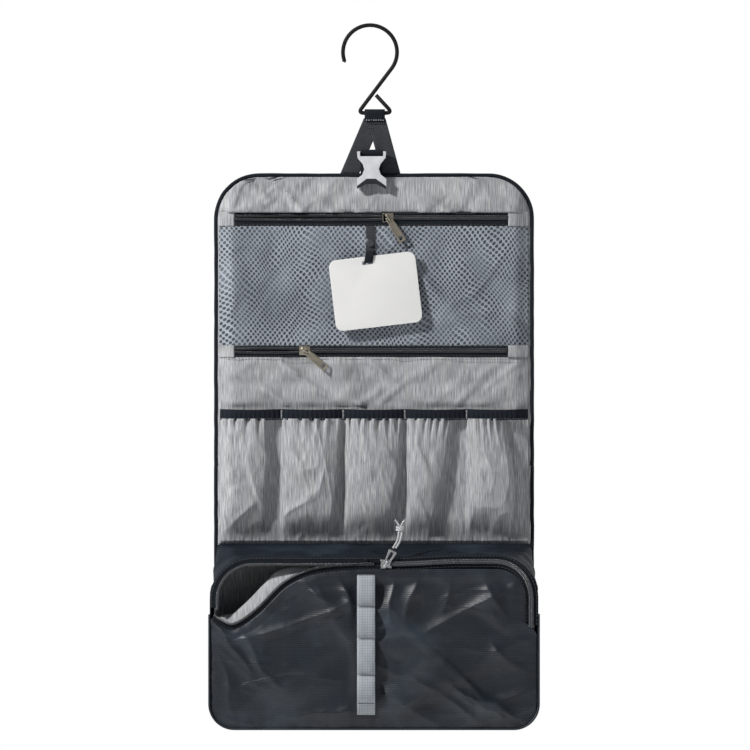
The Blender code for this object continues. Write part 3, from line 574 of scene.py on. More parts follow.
def leg(name, head, foot, half, y):
    """One leg of the hanger: webbing cut level where it is sewn into the bag's top edge."""

    def place(u, v):
        x = between(head, foot, v) + (2 * u - 1) * half
        return x, y - 0.0003 * math.sin(math.pi * v), between(-0.0765, -0.1233, v)

    cloth(name, 14, 36, place, 0.0010, "webbing", "hanger")


leg("hanger_leg_left", -0.0006, -0.0205, 0.0080, 0.0001)
leg("hanger_leg_right", 0.0018, 0.0144, 0.0079, -0.0012)
wrap = [(0.0006, -0.0019, -0.0795), (0.0006, -0.0020, -0.0775)]
wrap += [(0.0006, y, BAR_Z + z) for y, z in arc(0, 0, 0.0027, 205, -25, 14)]
wrap += [(0.0006, 0.0018, -0.0775), (0.0006, 0.0016, -0.0795)]
hanger_loop = sweep("hanger_loop", wrap, (1, 0, 0), 0.0086, 0.0005, "binding", "hanger")
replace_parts(hanger_loop, "hanger_webbing")
light_row = [(-0.0072, -0.0027, -0.0782), (0.0084, -0.0027, -0.0782)]
stitches("hanger_stitch_light", [light_row], "thread", "hanger", 0.0020, 0.0014)
rows = [[(-0.0070, -0.0019, z), (0.0086, -0.0019, z)] for z in (-0.0802, -0.0812)]
rows += [[(-0.0046 - 0.0004 * i, -0.0015, -0.0846 - 0.0012 * i),
          (-0.0004 * i, -0.0015, -0.0850 - 0.0012 * i)] for i in range(4)]
stitches("hanger_stitch_dark", rows, "dark_thread", "hanger", 0.0016, 0.0013, 0.00032)


# ---- shell, lining and binding


UPPER_FOLD = (FOLD_UPPER, ("upper_section", "middle_section"))
LOWER_FOLD = (FOLD_LOWER, ("middle_section", "pouch"))


def slab(name, high, low, y, thick, look):
    """A flat layer that fills the bag's outline inside its binding, between two heights."""
    rows = max(8, round((high - low) / 0.0032))

    def place(u, v):
        ease = v * v * (1.6 - 0.6 * v) if high > SPLIT else 1 - (1 - v) ** 2 * (1.0 + 0.6 * v)
        z = between(high, low, ease)
        x = (2 * u - 1) * half_width(z, BINDING)
        return x, y + 0.0004 * rumple(x, z, 0.030, 0.040, 1), z

    return cloth(name, 66, rows, place, thick, look)


def across_fold(piece, fold, bodies):
    """A piece with its transform baked into its mesh; its fold and bodies are not used."""
    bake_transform(piece)
    return piece


for layer, y, thick, look, rear in (
    ("back_shell", -0.0006, 0.0014, "shell", "pouch_back"),
    ("lining", -0.0022, 0.0006, "lining", "pouch_back_lining"),
):
    upper = slab(f"{layer}_upper", TOP - BINDING, SPLIT, y, thick, look)
    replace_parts(across_fold(upper, *UPPER_FOLD), f"upper_{look}")
    lower = slab(f"{layer}_lower", SPLIT, BASE + BINDING, y, thick, look)
    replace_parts(across_fold(lower, *LOWER_FOLD), f"middle_{look}", rear)


def edge_tape(name, route):
    """The folded tape round the bag's edge, a little uneven as sewn."""
    route = [Vector((x, -0.0005, z)) for x, z in route]
    path = [p + a.cross(BACK) * 0.0003 * rumple(p.x + p.z, p.z, 0.02, 0.02, 3)
            for p, a in resample(route, 0.0020)]
    return sweep(name, [route[0]] + path + [route[-1]], BACK, 0.0021, 0.0017, "binding",
                 None, True)


MID = BINDING / 2
EDGE = HALF - MID


def rim(centre_z, corner, turns, steps):
    """The binding's line along one side, round two corners and back along the other side."""
    path = [(-EDGE, SPLIT), (-EDGE, centre_z)]
    for side in (-1, 1):
        start, end = turns[:2] if side < 0 else turns[1:]
        path += arc(side * (HALF - corner), centre_z, corner - MID, start, end, steps)
    return path + [(EDGE, SPLIT)]


upper_rim = rim(TOP - TOP_CORNER, TOP_CORNER, (180, 90, 0), 14)
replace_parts(across_fold(edge_tape("binding_upper", upper_rim), *UPPER_FOLD), "upper_binding")
lower_rim = rim(BASE + BASE_CORNER, BASE_CORNER, (180, 270, 360), 10)
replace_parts(across_fold(edge_tape("binding_lower", lower_rim), *LOWER_FOLD),
            "middle_binding_left", "middle_binding_right", "pouch_binding")


# ---- upper section: grey panels, zips and net


def top_place(u, v):
    z = between(-0.1262, -0.1562, v)
    x = (2 * u - 1) * (half_width(z, BINDING) - 0.0006)
    fold = 0.0042 * crumple(x + 1.1 * z, z, 0.024, 0.060, 5, 3.0)
    fold += 0.0016 * crumple(x - 0.8 * z, z, 0.013, 0.030, 6)
    return x, front_layer(x, smoothstep(0.0, 0.75, v)) - fold * edge_blend(x), z


top_cloth = cloth("top_panel_cloth", 130, 16, top_place, 0.0007, "lining",
                  "upper_section")
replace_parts(top_cloth, "top_panel")


def net_place(u, v):
    x = (2 * u - 1) * (INNER - 0.0006)
    z = between(-0.1672, -0.2690, v)
    slack = math.sin(math.pi * v) ** 0.7 * edge_blend(x)
    fold = 0.0034 * crumple(x + 0.8 * z, z, 0.045, 0.070, 11)
    fold += 0.0014 * crumple(x - 0.7 * z, z, 0.020, 0.040, 12)
    sway = 0.0009 * math.sin(x * 190 + 5 * rumple(x, z, 0.05, 0.05, 13)) * (1 - v) ** 2
    # The mirror's strap presses a dent into the net, which stays behind the mirror.
    dent = 0.0030 * math.exp(-(((x + 0.0035) / 0.012) ** 2) - ((z + 0.1950) / 0.015) ** 2)
    return x, max(front_layer(x) - (0.0022 + fold + sway) * slack, -0.0128 + dent), z


net_cloth = cloth("net_pocket", 150, 60, net_place, 0.0005, "net", "upper_section")
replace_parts(net_cloth, "mesh_panel")


def zip_row(name, chain_z, top, bottom, open_to):
    """A zip across the section: woven tapes, coil, end tabs and their stitching."""
    for side, a, b in (("top", chain_z + 0.0003, top), ("bottom", chain_z - 0.0003, bottom)):

        def tape(u, v, a=a, b=b):
            x, z = between(TAPE_LEFT, TAPE_RIGHT, u), between(a, b, v)
            pull = 0.0005 * rumple(x, 0, 0.035, 1, 21 + len(side)) * (1 - v)
            return x, ZIP_Y - 0.0004 - 0.0003 * rumple(x, z, 0.022, 0.01, 22), z + pull

        made = cloth(f"{name}_woven_tape_{side}", 90, 4, tape, 0.0007, "binding",
                     "upper_section")
        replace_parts(made, f"{name}_tape_{side}")
    y = ZIP_Y - 0.0010
    shut = [(open_to + 0.004, y, chain_z), (TAPE_RIGHT - 0.0005, y, chain_z)]
    chain(f"{name}_coil_closed", shut, 0, "upper_section")
    for side, sign in (("top", 1), ("bottom", -1)):
        part = [(TAPE_LEFT + 0.0005 + i * (open_to - 0.004 - TAPE_LEFT) / 12, y,
                 chain_z + sign * (0.0011 + 0.0007 * math.sin(math.pi * i / 12)))
                for i in range(13)]
        chain(f"{name}_coil_open_{side}", part, sign, "upper_section")
    for side, inner in (("left", TAPE_LEFT), ("right", TAPE_RIGHT)):
        outer = math.copysign(INNER - 0.0008, inner)

        def tab(u, v, inner=inner, outer=outer):
            x, z = between(inner, outer, u), between(top + 0.0006, bottom - 0.0006, v)
            return x, front_layer(x) - 0.0008 - 0.0003 * rumple(x, z, 0.008, 0.006, 24), z

        made = cloth(f"{name}_end_{side}", 12, 8, tab, 0.0008, "lining", "upper_section")
        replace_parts(made, f"{name}_tab_{side}")
    rows = [[(TAPE_LEFT, y, z), (TAPE_RIGHT, y, z)] for z in (top - 0.0009, bottom + 0.0009)]
    stitches(f"{name}_stitch", rows, "dark_thread", "upper_section")


zip_row("upper_zip", UPPER_CHAIN, -0.1559, -0.1672, 0.0118)
zip_row("mid_zip", MID_CHAIN, -0.2688, -0.2779, -0.0586)


def seam_row(name, z, fall):
    """Stitching across the upper section, on top of the cloth there."""
    row = [(x, front_layer(x) - fall, z) for x in (-0.124 + 0.248 * i / 60 for i in range(61))]
    stitches(name, [row], "grey_thread", "upper_section")


seam_row("top_panel_stitch", -0.1540, 0.0010)


def lower_place(u, v):
    """The zipped pocket's front, which carries on over the fold and behind the elastic pockets."""
    z = between(-0.2776, -0.4352, v)
    x = (2 * u - 1) * (INNER - 0.0006)
    crease = 0.0006 * math.exp(-((z - FOLD_UPPER) / 0.0035) ** 2)
    foot = smoothstep(-0.4345, -0.4150, z)
    fold = 0.0050 * crumple(x + 1.1 * z, z, 0.034, 0.070, 31, 3.0)
    fold += 0.0022 * crumple(x - 1.2 * z, z, 0.022, 0.050, 32)
    fold *= smoothstep(-0.2776, -0.2830, z) if z > BAND_TOP else 1.0
    fold *= 1.0 if z > -0.3180 else 0.3
    fold *= 1 - 0.25 * math.exp(-((z - FOLD_UPPER) / 0.005) ** 2)
    return x, front_layer(x, foot) + (crease - fold * foot) * edge_blend(x), z


lower_cloth = cloth("pocket_panel_cloth", 130, 72, lower_place, 0.0007, "lining")
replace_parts(across_fold(lower_cloth, *UPPER_FOLD), "zip_pocket_header", "pocket_backing")
seam_row("mid_zip_lower_stitch", -0.2799, 0.0014)


# ---- elastic pockets

# Each pocket's left and right edges in millimetres, at the band, halfway down and at the foot.
EDGES = (
    ((-130.0, -130.0, -130.0), (-85.0, -88.0, -92.0)),
    ((-78.4, -78.8, -80.0), (-26.4, -28.5, -35.5)),
    ((-25.4, -25.8, -26.6), (25.6, 22.0, 11.5)),
    ((26.6, 26.8, 26.4), (67.5, 61.0, 47.5)),
    ((78.0, 77.6, 77.0), (110.5, 118.5, 116.0)),
)


def along_edge(knots, t):
    return through(((0.0, knots[0]), (0.5, knots[1]), (1.0, knots[2])), t) / 1000


def puff(x, t):
    """Which pocket a point is in, and how far across it, or None in the tuck between two."""
    for k, (left, right) in enumerate(EDGES):
        low, high = along_edge(left, t), along_edge(right, t)
        if low <= x <= high:
            return k, (x - low) / (high - low), min(x - low, high - x)
    return None, 0.0, 0.0


def pocket_place(u, v):
    """The gathered cloth: pleats at the band, a rounded swell, and tucks between the pockets."""
    z = between(BAND_BOTTOM + 0.0008, POCKET_BOTTOM, v)
    x = between(DIVIDERS[0], DIVIDERS[-1], u)
    base = front_layer(x, smoothstep(-0.4352, -0.4150, z)) - 0.0010
    k, s, inside = puff(x, v)
    if k is None:
        tuck = 0.0007 * rumple(x, z, 0.006, 0.040, 39)
        tuck += 0.0006 * math.exp(-v / 0.08) * math.sin(x * 1900)
        return x, base - 0.0004 - abs(tuck), z
    lip = smoothstep(0.0, 0.0045, inside)
    dome = (1 - abs(2 * s - 1) ** 2.6) ** 0.75
    swell = 0.0082 + 0.0026 * math.sin(math.pi * v) - 0.0058 * smoothstep(0.70, 1, v)
    swell *= 0.38 * lip + 0.62 * dome
    top, foot = math.exp(-v / 0.085), math.exp(-(1 - v) / 0.05)
    drift = rumple(x, z, 0.018, 0.060, 40 + k)
    pleat = math.sin(2 * math.pi * (s * (5.2 + 0.6 * (k % 3)) + 0.55 * drift))
    small = math.sin(2 * math.pi * (s * 11 + 1.1 * drift + 0.3 * k))
    ruck = pleat * (0.0017 * top + 0.0005 * foot) + small * (0.0006 * top + 0.0003 * foot)
    ruck += 0.0021 * crumple(x + 0.40 * z, z, 0.026, 0.062, 47 + k, 2.2) * (1 - 0.5 * top)
    steep = crumple(x - 0.7 * z, z + 0.7 * x, 0.020, 0.040, 57, 2.2)
    ruck += 0.0018 * steep * smoothstep(0.15, 0.5, v) + 0.0003 * rumple(x, z, 0.005, 0.008, 58)
    ruck += 0.0008 * max(0.0, 1 - abs(rumple(x + 0.25 * z, z, 0.022, 0.090, 60 + k)) * 5) ** 2
    clear = smoothstep(POCKET_BOTTOM, POCKET_BOTTOM + 0.024, z)
    y = base - 0.0006 - swell * (0.12 + 0.88 * clear) - ruck * lip * (0.35 + 0.65 * clear)
    return x, min(y, base - 0.0002), z


pockets = cloth("elastic_pocket_cloth", 560, 90, pocket_place, 0.0006, "lining",
                "middle_section")
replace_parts(pockets, "gathered_pockets")


def band_place(u, v):
    """The elastic edge, which stands off the cloth between the pockets' dividers."""
    x = between(DIVIDERS[0], DIVIDERS[-1], u)
    z = between(BAND_TOP, BAND_BOTTOM, v)
    k = min(int((x - DIVIDERS[0]) / POCKET_PITCH), 4)
    s = min(max((x - DIVIDERS[k]) / POCKET_PITCH, 0.0), 1.0)
    bow = math.sin(math.pi * s)
    crimp = 0.00035 * math.sin(2 * math.pi * s * 13) * (0.3 + v)
    return x, front_layer(x) - 0.0027 - 0.0075 * bow**0.75 - crimp, z - 0.00054 * bow


elastic = cloth("elastic_edge", 340, 6, band_place, 0.0010, "elastic", "middle_section")
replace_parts(elastic, "elastic_band")
row = [Vector(band_place(i / 300, 0.88)) - BACK * 0.0003 for i in range(301)]
stitches("elastic_stitch", [row], "grey_thread", "middle_section", 0.0026, 0.0015,
         0.00024)
tacks = []
for x in DIVIDERS[1:-1]:
    y = band_place((x - DIVIDERS[0]) / 0.26, 0.5)[1] - 0.0005
    for z in (BAND_TOP - 0.0010 - 0.0011 * k for k in range(7)):
        tacks.append([(x - 0.0009, y, z), (x + 0.0009, y, z - 0.0003)])
stitches("elastic_bar_tacks", tacks, "thread", "middle_section", 0.0018, 0.0018, 0.00030)


# ---- pouch


def mouth_drop(x):
    return through(MOUTH, x) if x < MOUTH[-1][0] else 0.0


def zip_lift(x):
    """The closed end of the zip rides a little higher than the open one."""
    return 0.0022 * smoothstep(0.015, 0.075, x)


def front_face(u, v, right=0.1275):
    """The pouch's front before it creases: swollen in the middle, its head along the zip."""
    foot_x = between(-FRONT_HALF, FRONT_HALF, u)
    head_x = between(-FRONT_HALF, right, u)
    inside = max(abs(foot_x) - (FRONT_HALF - BASE_CORNER), 0.0)
    foot = -0.5902 + BASE_CORNER - math.sqrt(max(BASE_CORNER**2 - inside**2, 0.0))
    corner = max(head_x - (right - HEAD_CORNER), 0.0)
    round_off = HEAD_CORNER - math.sqrt(max(HEAD_CORNER**2 - corner**2, 0.0))
    slope = (mouth_drop(head_x + 0.001) - mouth_drop(head_x - 0.001)) / 0.002
    tape = 0.0040 * math.sqrt(1 + slope**2)
    head = MAIN_CHAIN - 0.0006 - tape + mouth_drop(head_x) - round_off + 0.3 * zip_lift(head_x)
    x = between(foot_x, head_x, smoothstep(0.64, 0.745, v))
    swell = BULGE * math.sin(math.pi * min(max(u, 0.0), 1.0)) ** 0.6
    swell *= math.sin(math.pi * min(0.5, 0.5 * v / 0.35)) * (1 - 0.55 * smoothstep(0.55, 1, v))
    side = smoothstep(0.1095, 0.1185, x) * smoothstep(0.60, 0.74, v)
    lap = max(smoothstep(0.90, 0.97, v), side)
    return x, POUCH_FRONT - swell - 0.0019 * lap, between(foot, head, v)


# Creases in the pouch's cloth: from x, z to x, z in millimetres, then width and height.
CREASES = (
    (-136, -507, -104, -542, 5.0, 2.4), (-134, -528, -118, -572, 4.5, 2.2),
    (-136, -500, -122, -520, 3.0, 1.6), (-112, -506, -84, -556, 7.0, 2.0),
    (-60, -462, -34, -486, 5.0, 1.8), (-30, -461, -18, -492, 3.5, 1.8),
    (-22, -485, -48, -499, 4.0, 1.3), (18, -466, 12, -502, 5.0, 2.0),
    (40, -462, 24, -500, 6.0, 2.4), (66, -460, 58, -490, 6.0, 1.6),
    (92, -464, 112, -500, 7.0, 2.0), (64, -556, 128, -584, 4.0, 3.2),
    (84, -562, 116, -588, 3.2, 1.8), (100, -520, 134, -546, 5.0, 1.9),
    (10, -578, 46, -560, 5.0, 1.6), (-80, -584, -20, -574, 6.0, 1.5),
    (-128, -580, -96, -588, 4.0, 1.7), (-12, -516, 90, -512, 9.0, 1.0),
)


def creases(x, z):
    """The creases' height at a point, each highest along its middle."""
    total = 0.0
    for x1, z1, x2, z2, width, height in CREASES:
        run, off = Vector((x2 - x1, z2 - z1)) / 1000, Vector((x - x1 / 1000, z - z1 / 1000))
        t = min(max(off.dot(run) / run.length_squared, 0.0), 1.0)
        away = (off - run * t).length / (width / 1000)
        ends = math.sin(math.pi * (0.08 + 0.84 * t)) ** 0.6
        total += height / 1000 * math.exp(-away ** 1.15) * ends
    return 2.1 * total


def pouch_place(u, v):
    """The front with its creases, puckers along its seams, and the strap holding it down."""
    x, y, z = front_face(u, v)
    calm = min(1.0, 7 * min(u, 1 - u, v, 1 - v) + 0.10)
    wander = 0.006 * rumple(x, z, 0.030, 0.030, 50)
    fold = creases(x + wander, z + wander * 0.6) - 0.0008
    fold += 0.0034 * crumple(0.80 * x - 0.60 * z, 0.60 * x + 0.80 * z, 0.120, 0.030, 51, 2.4)
    fold += 0.0030 * crumple(0.92 * x + 0.40 * z, 0.92 * z - 0.40 * x, 0.130, 0.028, 53, 3.0)
    fold += 0.0008 * crumple(x - 0.7 * z, z, 0.060, 0.014, 52)
    fold *= (0.15 + 0.85 * smoothstep(0.007, 0.016, abs(x - STRAP_X))) * calm
    hems = math.exp(-v / 0.10) + 0.6 * math.exp(-(1 - v) / 0.10)
    sides = math.exp(-u / 0.05) + math.exp(-(1 - u) / 0.05)
    pucker = 0.00080 * rumple(x, z, 0.0065, 0.020, 54) * hems
    pucker += 0.00088 * rumple(x, z, 0.020, 0.0065, 55) * sides
    return x, y - min(fold, 0.0069) - pucker, z


pouch_cloth = cloth("pouch_front_cloth", 220, 120, pouch_place, 0.0010, "ripstop",
                    "pouch")
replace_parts(pouch_cloth, "pouch_front")


def inner_place(u, v):
    x, y, z = pouch_place(0.012 + 0.976 * u, 0.02 + 0.975 * v)
    return x, max(y, front_face(u, v)[1]) + 0.0022, z


inner_cloth = cloth("pouch_front_inside", 90, 44, inner_place, 0.0005, "lining", "pouch")
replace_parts(inner_cloth, "pouch_front_lining")


def wall_loop(half, top, low, top_corner, low_corner, lift):
    """A loop round the pouch: right along its top, down, along its base and up again."""
    inner_top, inner_low = half - top_corner, half - low_corner
    head, foot = top - top_corner, low + low_corner
    side = [(half, head + (foot - head) * i / 36) for i in range(1, 36)]
    points = [(inner_top * i / 30, top) for i in range(30)]
    points += arc(inner_top, head, top_corner, 90, 0, 14)
    points += side + arc(inner_low, foot, low_corner, 0, -90, 14)
    points += [(inner_low * (1 - i / 30), low) for i in range(1, 60)]
    points += arc(-inner_low, foot, low_corner, -90, -180, 14)
    points += [(-x, z) for x, z in side[::-1]] + arc(-inner_top, head, top_corner, 180, 90, 14)
    points += [(-inner_top * i / 30, top) for i in range(29, 0, -1)]
    return [Vector((x, 0, z + lift(x) * smoothstep(top - 0.06, top - 0.02, z))) for x, z in points]


BACK_LOOP = wall_loop(0.1332, -0.4352, -0.5893, 0.0040, 0.0195, lambda x: 0.0)
FRONT_LOOP = wall_loop(0.1384, MAIN_CHAIN + 0.0056, -0.5906, ZIP_CORNER + 0.0056, BASE_CORNER,
                       zip_lift)


def wall_loft(name, inset, look, reach=1.0):
    """The pouch's top, sides and base: one strip of cloth from its back to its zip and front."""
    count, rows = len(BACK_LOOP), 22
    outer, inner = [], []
    for v in (j / rows * reach for j in range(rows + 1)):
        loop = [b.lerp(f, v) for b, f in zip(BACK_LOOP, FRONT_LOOP)]
        y, soft = -0.0030 - 0.0522 * v, math.sin(math.pi * v) ** 0.55
        for i, p in enumerate(loop):
            along = (loop[(i + 1) % count] - loop[i - 1]).normalized()
            out = Vector((-along.z, 0, along.x))
            s = (p.x - p.z) + (0.4 if p.z < -0.5 else 0.0)
            push = 0.0021 * rumple(p.x, p.z * 1.2 + y, 0.019, 0.020, 61)
            push += 0.0010 * rumple(s, y, 0.0075, 0.018, 62)
            if p.z > -0.47:
                push += 0.0012 * rumple(p.x, y, 0.030, 0.0075, 63) - 0.0008
            push = min(push, 0.0012) if p.z > -0.45 else push
            outer.append(p + out * (push * soft - inset) + BACK * y)
            inner.append(p + out * (push * soft - inset - 0.0008) + BACK * y)
    n, faces = len(outer), []
    for row in range(0, rows * count, count):
        for a, b in paired(range(row, row + count)):
            faces += [(a, b, b + count, a + count),
                      (a + count + n, b + count + n, b + n, a + n)]
    for row in (0, rows * count):
        faces += [(a, b, b + n, a + n) for a, b in paired(range(row, row + count))]
    return add(name, outer + inner, faces, look, "pouch")


gusset = wall_loft("pouch_walls", 0.0004, "ripstop_side")
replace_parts(gusset, "pouch_side_gusset", "pouch_top_gusset")
wall_loft("pouch_wall_lining", 0.0034, "lining", 0.93)
# The piping where the walls meet the front, from side to side round the base.
seam = [p + BACK * -0.0556 for p in FRONT_LOOP if p.z < -0.4930]
sweep("pouch_seam", seam, BACK, 0.0010, 0.0009, "ripstop", "pouch", True)


def main_line(start):
    """The closed part of the main zip: along the top and round the right corner."""
    points = [(start + (ZIP_TURN - start) * i / 40, MAIN_CHAIN) for i in range(41)]
    points += arc(ZIP_TURN, MAIN_CHAIN - ZIP_CORNER, ZIP_CORNER, 90, 0, 14)[1:]
    return [(x, z + zip_lift(x) * smoothstep(-0.49, -0.465, z))
            for x, z in points + [(ZIP_SIDE, -0.5050)]]


def opened_line():
    """The open edge of the front, from the left side up to the slider."""
    return [(x, MAIN_CHAIN + mouth_drop(x)) for x in (-0.1350 + 0.1330 * i / 60 for i in range(61))]


def left_line():
    """The rear half of the opened zip, round the left corner to the slider."""
    points = [(-ZIP_SIDE, -0.4900)]
    points += arc(-ZIP_TURN, MAIN_CHAIN - ZIP_CORNER, ZIP_CORNER, 180, 90, 14)
    return points + [(-ZIP_TURN + (ZIP_TURN + 0.010) * i / 24, MAIN_CHAIN) for i in range(1, 25)]


def mouth_lip(u, v):
    """The lining turned out along the opened edge, from the tape back into the pouch."""
    x = -0.1330 + 0.1180 * u
    drop = mouth_drop(x)
    reach = math.sin(math.pi * min(u * 1.15, 1.0)) ** 0.7
    rise = min(0.0190, 0.0030 - 0.6 * drop) * reach
    rise *= math.sin(math.pi * 0.62 * v) / math.sin(math.pi * 0.62)
    crimp = 0.0007 * rumple(x, v, 0.010, 0.5, 75) * v
    z = MAIN_CHAIN + drop - 0.0008 + rise + crimp
    return x + 0.004 * v * reach, MAIN_Y + 0.0012 + 0.0120 * v + crimp, z


cloth("mouth_lining", 80, 12, mouth_lip, 0.0006, "lining", "pouch")


def flat_strip(name, line, near, far, y, seed):
    """A tape in the zip's plane, between two distances to the left of its line."""
    run = resample([(x, 0, z) for x, z in line], 0.0022)

    def place(u, v):
        centre, along = run[min(int(u * (len(run) - 1) + 0.5), len(run) - 1)]
        sway = 0.0003 * rumple(centre.x - centre.z, v, 0.02, 1, seed)
        return centre + Vector((-along.z, 0, along.x)) * between(near, far, v) + BACK * (y + sway)

    return cloth(name, len(run) - 1, 4, place, 0.0008, "binding", "pouch")


def beside(line, off, y):
    """Points along a line, a distance to its left."""
    return [c + Vector((-a.z, 0, a.x)) * off + BACK * y
            for c, a in resample([(x, 0, z) for x, z in line], 0.003)]


rear_edge = left_line() + main_line(-0.010)[1:]
front_edge = opened_line() + main_line(0.0)[1:]
rear_tape = flat_strip("main_tape_rear", rear_edge, 0.0003, 0.0056, MAIN_Y - 0.0004, 71)
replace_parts(rear_tape, "main_zip_tape_rear")
front_tape = flat_strip("main_tape_front", front_edge, -0.0054, -0.0003, MAIN_Y - 0.0006, 72)
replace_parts(front_tape, "main_zip_tape_front")
coil_y = MAIN_Y - 0.0012
closed = [(x, coil_y - 0.0004, z) for x, z in main_line(0.0135)]
chain("main_coil_closed", closed, 0, "pouch", "beads")
rear = [(x, coil_y, z) for x, z in left_line() if x < 0.004]
chain("main_coil_rear", rear, -1, "pouch", "beads")
chain("main_coil_front", [(x, coil_y, z) for x, z in opened_line()], 1, "pouch")
rows = [beside(front_edge, -0.0044, MAIN_Y - 0.0013), beside(rear_edge, 0.0046, MAIN_Y - 0.0011)]
stitches("main_zip_stitch", rows, "dark_thread", "pouch")


# ---- daisy strap


def daisy_path():
    """Down the pouch's front: a loop between each two rows of stitching, the end sewn flat."""
    high, low = MAIN_CHAIN - 0.0006 - 0.0058, -0.5902

    def base(z):
        return front_face(0.475, (z - low) / (high - low), 0.1252)[1] - 0.0012

    points = []
    for top, foot in zip(STITCHES[:-2], STITCHES[1:-1]):
        for t in (k / 14 for k in range(14)):
            z = between(top, foot, t)
            points.append((STRAP_X, base(z) - 0.0062 * math.sin(math.pi * t) ** 0.7, z))
    return points + [(STRAP_X, base(z), z) for z in STITCHES[-2:]]


daisy = sweep("daisy_webbing", daisy_path(), (1, 0, 0), 0.0076, 0.0006, "daisy",
              "pouch")
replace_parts(daisy, "daisy_strap")
tacks = []
for z in STITCHES[:-1]:
    y = min(daisy_path(), key=lambda p: abs(p[2] - z))[1] - 0.0009
    tacks += [[(-0.0137, y, z + s), (0.0003, y, z + s)] for s in (0.0007, -0.0007)]
stitches("daisy_stitch", tacks, "grey_thread", "pouch", 0.0017, 0.0014, 0.00030)


# ---- hardware

for nodes, look, slot, ease in (
    ("buckle_socket", "buckle", "buckle", 0.0005),
    ("buckle_plug prong_left prong_right", "buckle", "buckle", 0.0004),
    ("upper_slider mid_slider", "brass", "pull_metal", 0.0004),
    ("main_slider", "steel", "slider_metal", 0.0004),
    ("upper_pull_tab mid_pull_tab", "brass", "pull_metal", 0.0003),
    ("main_pull_link", "steel", "slider_metal", 0.0002),
    ("mirror_plate", "mirror", "mirror", 0.0004),
    ("mirror_strap", "webbing", "binding", 0.0002),
    ("mirror_strap_snap", "snap", "snap", 0.0003),
    ("socket_strap plug_strap", "binding", "binding", 0.0002),
):
    for node in nodes.split():
        refined(node, look, ease)

# A dark piece painted as the shade inside the mouth of the buckle's socket: an arch, as x and z in
# tenths of a millimetre.
mouth = ((-143, -1364), (-143, -1338), (-62, -1278), (14, -1278),
         (100, -1338), (100, -1364), (20, -1322), (-66, -1322))
verts = [(x / 10000, y, z / 10000) for y in (-0.0122, -0.0100) for x, z in mouth]
faces = [(0, 1, 2, 7), (2, 3, 6, 7), (3, 4, 5, 6)]
faces += [(15, 10, 9, 8), (15, 14, 11, 10), (14, 13, 12, 11)]
faces += [(a, b, b + 8, a + 8) for a, b in paired(range(8))]
add("socket_mouth_shade", verts, faces, "coil", "socket", False)

# The strap's end, over the mirror's top edge and into its slot.
lean = math.radians(6.7)
tip = [(-0.0033, -0.0127, -0.1905), (-0.0034, -0.0150, -0.1889), (-0.0035, -0.0168, -0.1898),
       (-0.0040, -0.0171, -0.1938), (-0.0046, -0.0170, -0.1973), (-0.0047, -0.0158, -0.1985)]
sweep("mirror_strap_end", tip, (math.cos(lean), 0, math.sin(lean)), 0.0036, 0.0004, "binding",
      "mirror")


# ---- pull cord

KNOT = Vector((0.0220, -0.0465, -0.4226))


def cord_route(side):
    """One leg of the pull's cord: out of the link's eye, into the knot and out as a short tail."""
    rise = [(0.0168, -0.0588, -0.4388), (0.0176, -0.0583, -0.4376), (0.0186, -0.0575, -0.4362),
            (0.0195, -0.0564, -0.4347), (0.0204, -0.0550, -0.4330), (0.0211, -0.0533, -0.4310),
            (0.0216, -0.0515, -0.4290), (0.0219, -0.0497, -0.4271), (0.0220, -0.0480, -0.4254)]
    tail = [(0.0006, 0.0016, 0.0014), (0.0014, 0.0022, 0.0036), (0.0026, 0.0022, 0.0058),
            (0.0042, 0.0016, 0.0074)]
    route = [Vector((x + side * 0.0012, y, z)) for x, y, z in rise]
    return route + [KNOT + Vector((side * x, y, z)) for x, y, z in tail]


def cord_piece(name, route, node):
    """A round cord over a route, smoothed; with its length and where it starts."""
    curve = bpy.data.curves.new(name, "CURVE")
    curve.dimensions = "3D"
    curve.bevel_depth, curve.bevel_resolution, curve.use_fill_caps = 0.00085, 4, True
    last, smooth = len(route) - 1, []
    for i in range(last):
        p0, p1, p2, p3 = (route[min(max(i + k, 0), last)] for k in (-1, 0, 1, 2))
        for t in (0.0, 0.33, 0.67):
            square, cube = 2 * p0 - 5 * p1 + 4 * p2 - p3, 3 * p1 - p0 - 3 * p2 + p3
            smooth.append(0.5 * (2 * p1 + (p2 - p0) * t + square * t * t + cube * t**3))
    smooth.append(route[-1])
    spline = curve.splines.new("POLY")
    spline.points.add(len(smooth) - 1)
    for knot, p in zip(spline.points, smooth):
        knot.co = (*p, 1.0)
    obj = dress(bpy.data.objects.new(name, curve), "cord", "main_pull")
    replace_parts(obj, node)
    return obj, sum((b - a).length for a, b in zip(smooth, smooth[1:])), smooth[0]


turns = []
for t in (i / 95 for i in range(96)):
    angle = 2 * math.pi * 3.5 * t
    turn = (0.0030 * math.cos(angle), 0.0019 * math.sin(angle), 0.0018 * (2 * t - 1))
    turns.append(KNOT + Vector(turn))
knot = sweep("pull_knot", turns, (0, 0, 1), 0.0008, 0.0008, "cord", "main_pull", True)
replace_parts(knot, "pull_cord_knot")
for side, sign in (("left", -1), ("right", 1)):
    made, run, start = cord_piece(f"pull_cord_{side}_look", cord_route(sign), f"pull_cord_{side}")


# ---- stage, light and camera

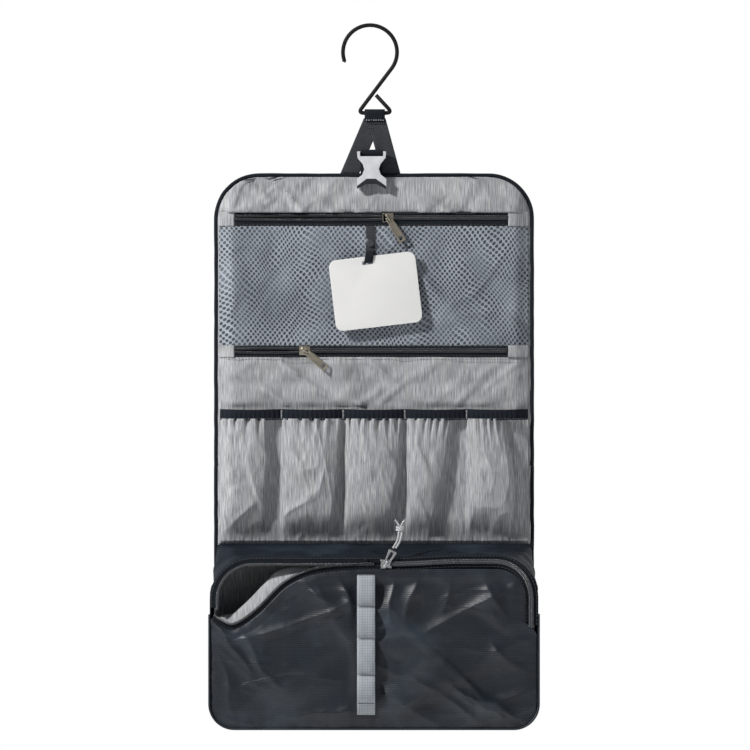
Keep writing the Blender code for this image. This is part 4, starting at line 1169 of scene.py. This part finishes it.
floor = bpy.data.meshes.new("floor")
floor.from_pydata([(-9, -9, -1.6), (9, -9, -1.6), (9, 9, -1.6), (-9, 9, -1.6)], [], [(0, 1, 2, 3)])
floor_paint = Paint("floor_pale", (0.93, 0.93, 0.93), 0.8)
floor_paint.colour(floor_paint.ramp(floor_paint.noise((2, 2, 2)), (0.3, 0.92), (0.7, 0.94)))
floor.materials.append(floor_paint.made)
ground = bpy.data.objects.new("floor", floor)
stand(ground)

world = bpy.data.worlds.new("studio")
bpy.context.scene.world = world
world.use_nodes = True
nodes, links = world.node_tree.nodes, world.node_tree.links
direction = nodes.new("ShaderNodeTexCoord").outputs["Generated"]
split = nodes.new("ShaderNodeSeparateXYZ")
links.new(direction, split.inputs[0])
shade = nodes.new("ShaderNodeMapRange")
shade.interpolation_type = "SMOOTHSTEP"
for label, value in (("From Min", -0.35), ("From Max", 0.35), ("To Min", 0.11), ("To Max", 1.0)):
    shade.inputs[label].default_value = value
links.new(split.outputs["Y"], shade.inputs["Value"])
links.new(shade.outputs["Result"], nodes["Background"].inputs["Strength"])
nodes["Background"].inputs["Color"].default_value = (1.0, 1.0, 1.0, 1.0)


def area_light(name, place, target, size, power, tint=(1, 1, 1)):
    lamp = bpy.data.lights.new(name, "AREA")
    lamp.size, lamp.energy, lamp.color = size, power, tint
    obj = bpy.data.objects.new(name, lamp)
    obj.location = place
    obj.rotation_euler = (Vector(target) - Vector(place)).to_track_quat("-Z", "Y").to_euler()
    stand(obj)


area_light("key", (-2.1, -1.5, 1.5), (0, 0, -0.32), 0.26, 150, (1.0, 0.99, 0.97))
area_light("fill", (1.8, -2.2, -0.2), (0, 0, -0.35), 1.4, 7, (0.93, 0.96, 1.0))
area_light("back", (0.8, 2.2, 0.8), (0, 0, -0.35), 1.5, 18)

SENSOR, DISTANCE, SEEN_WIDTH = 36.0, 12.0, 0.6328
camera = bpy.data.cameras.new("camera")
camera.sensor_width = SENSOR
camera.lens = SENSOR * DISTANCE / SEEN_WIDTH
camera.clip_end = 120
eye = bpy.data.objects.new("camera", camera)
eye.location = (0.0008, -DISTANCE, -0.2932)
eye.rotation_euler = (math.radians(90), 0, 0)
stand(eye)
bpy.context.scene.camera = eye
bpy.context.scene.view_settings.view_transform = "Standard"

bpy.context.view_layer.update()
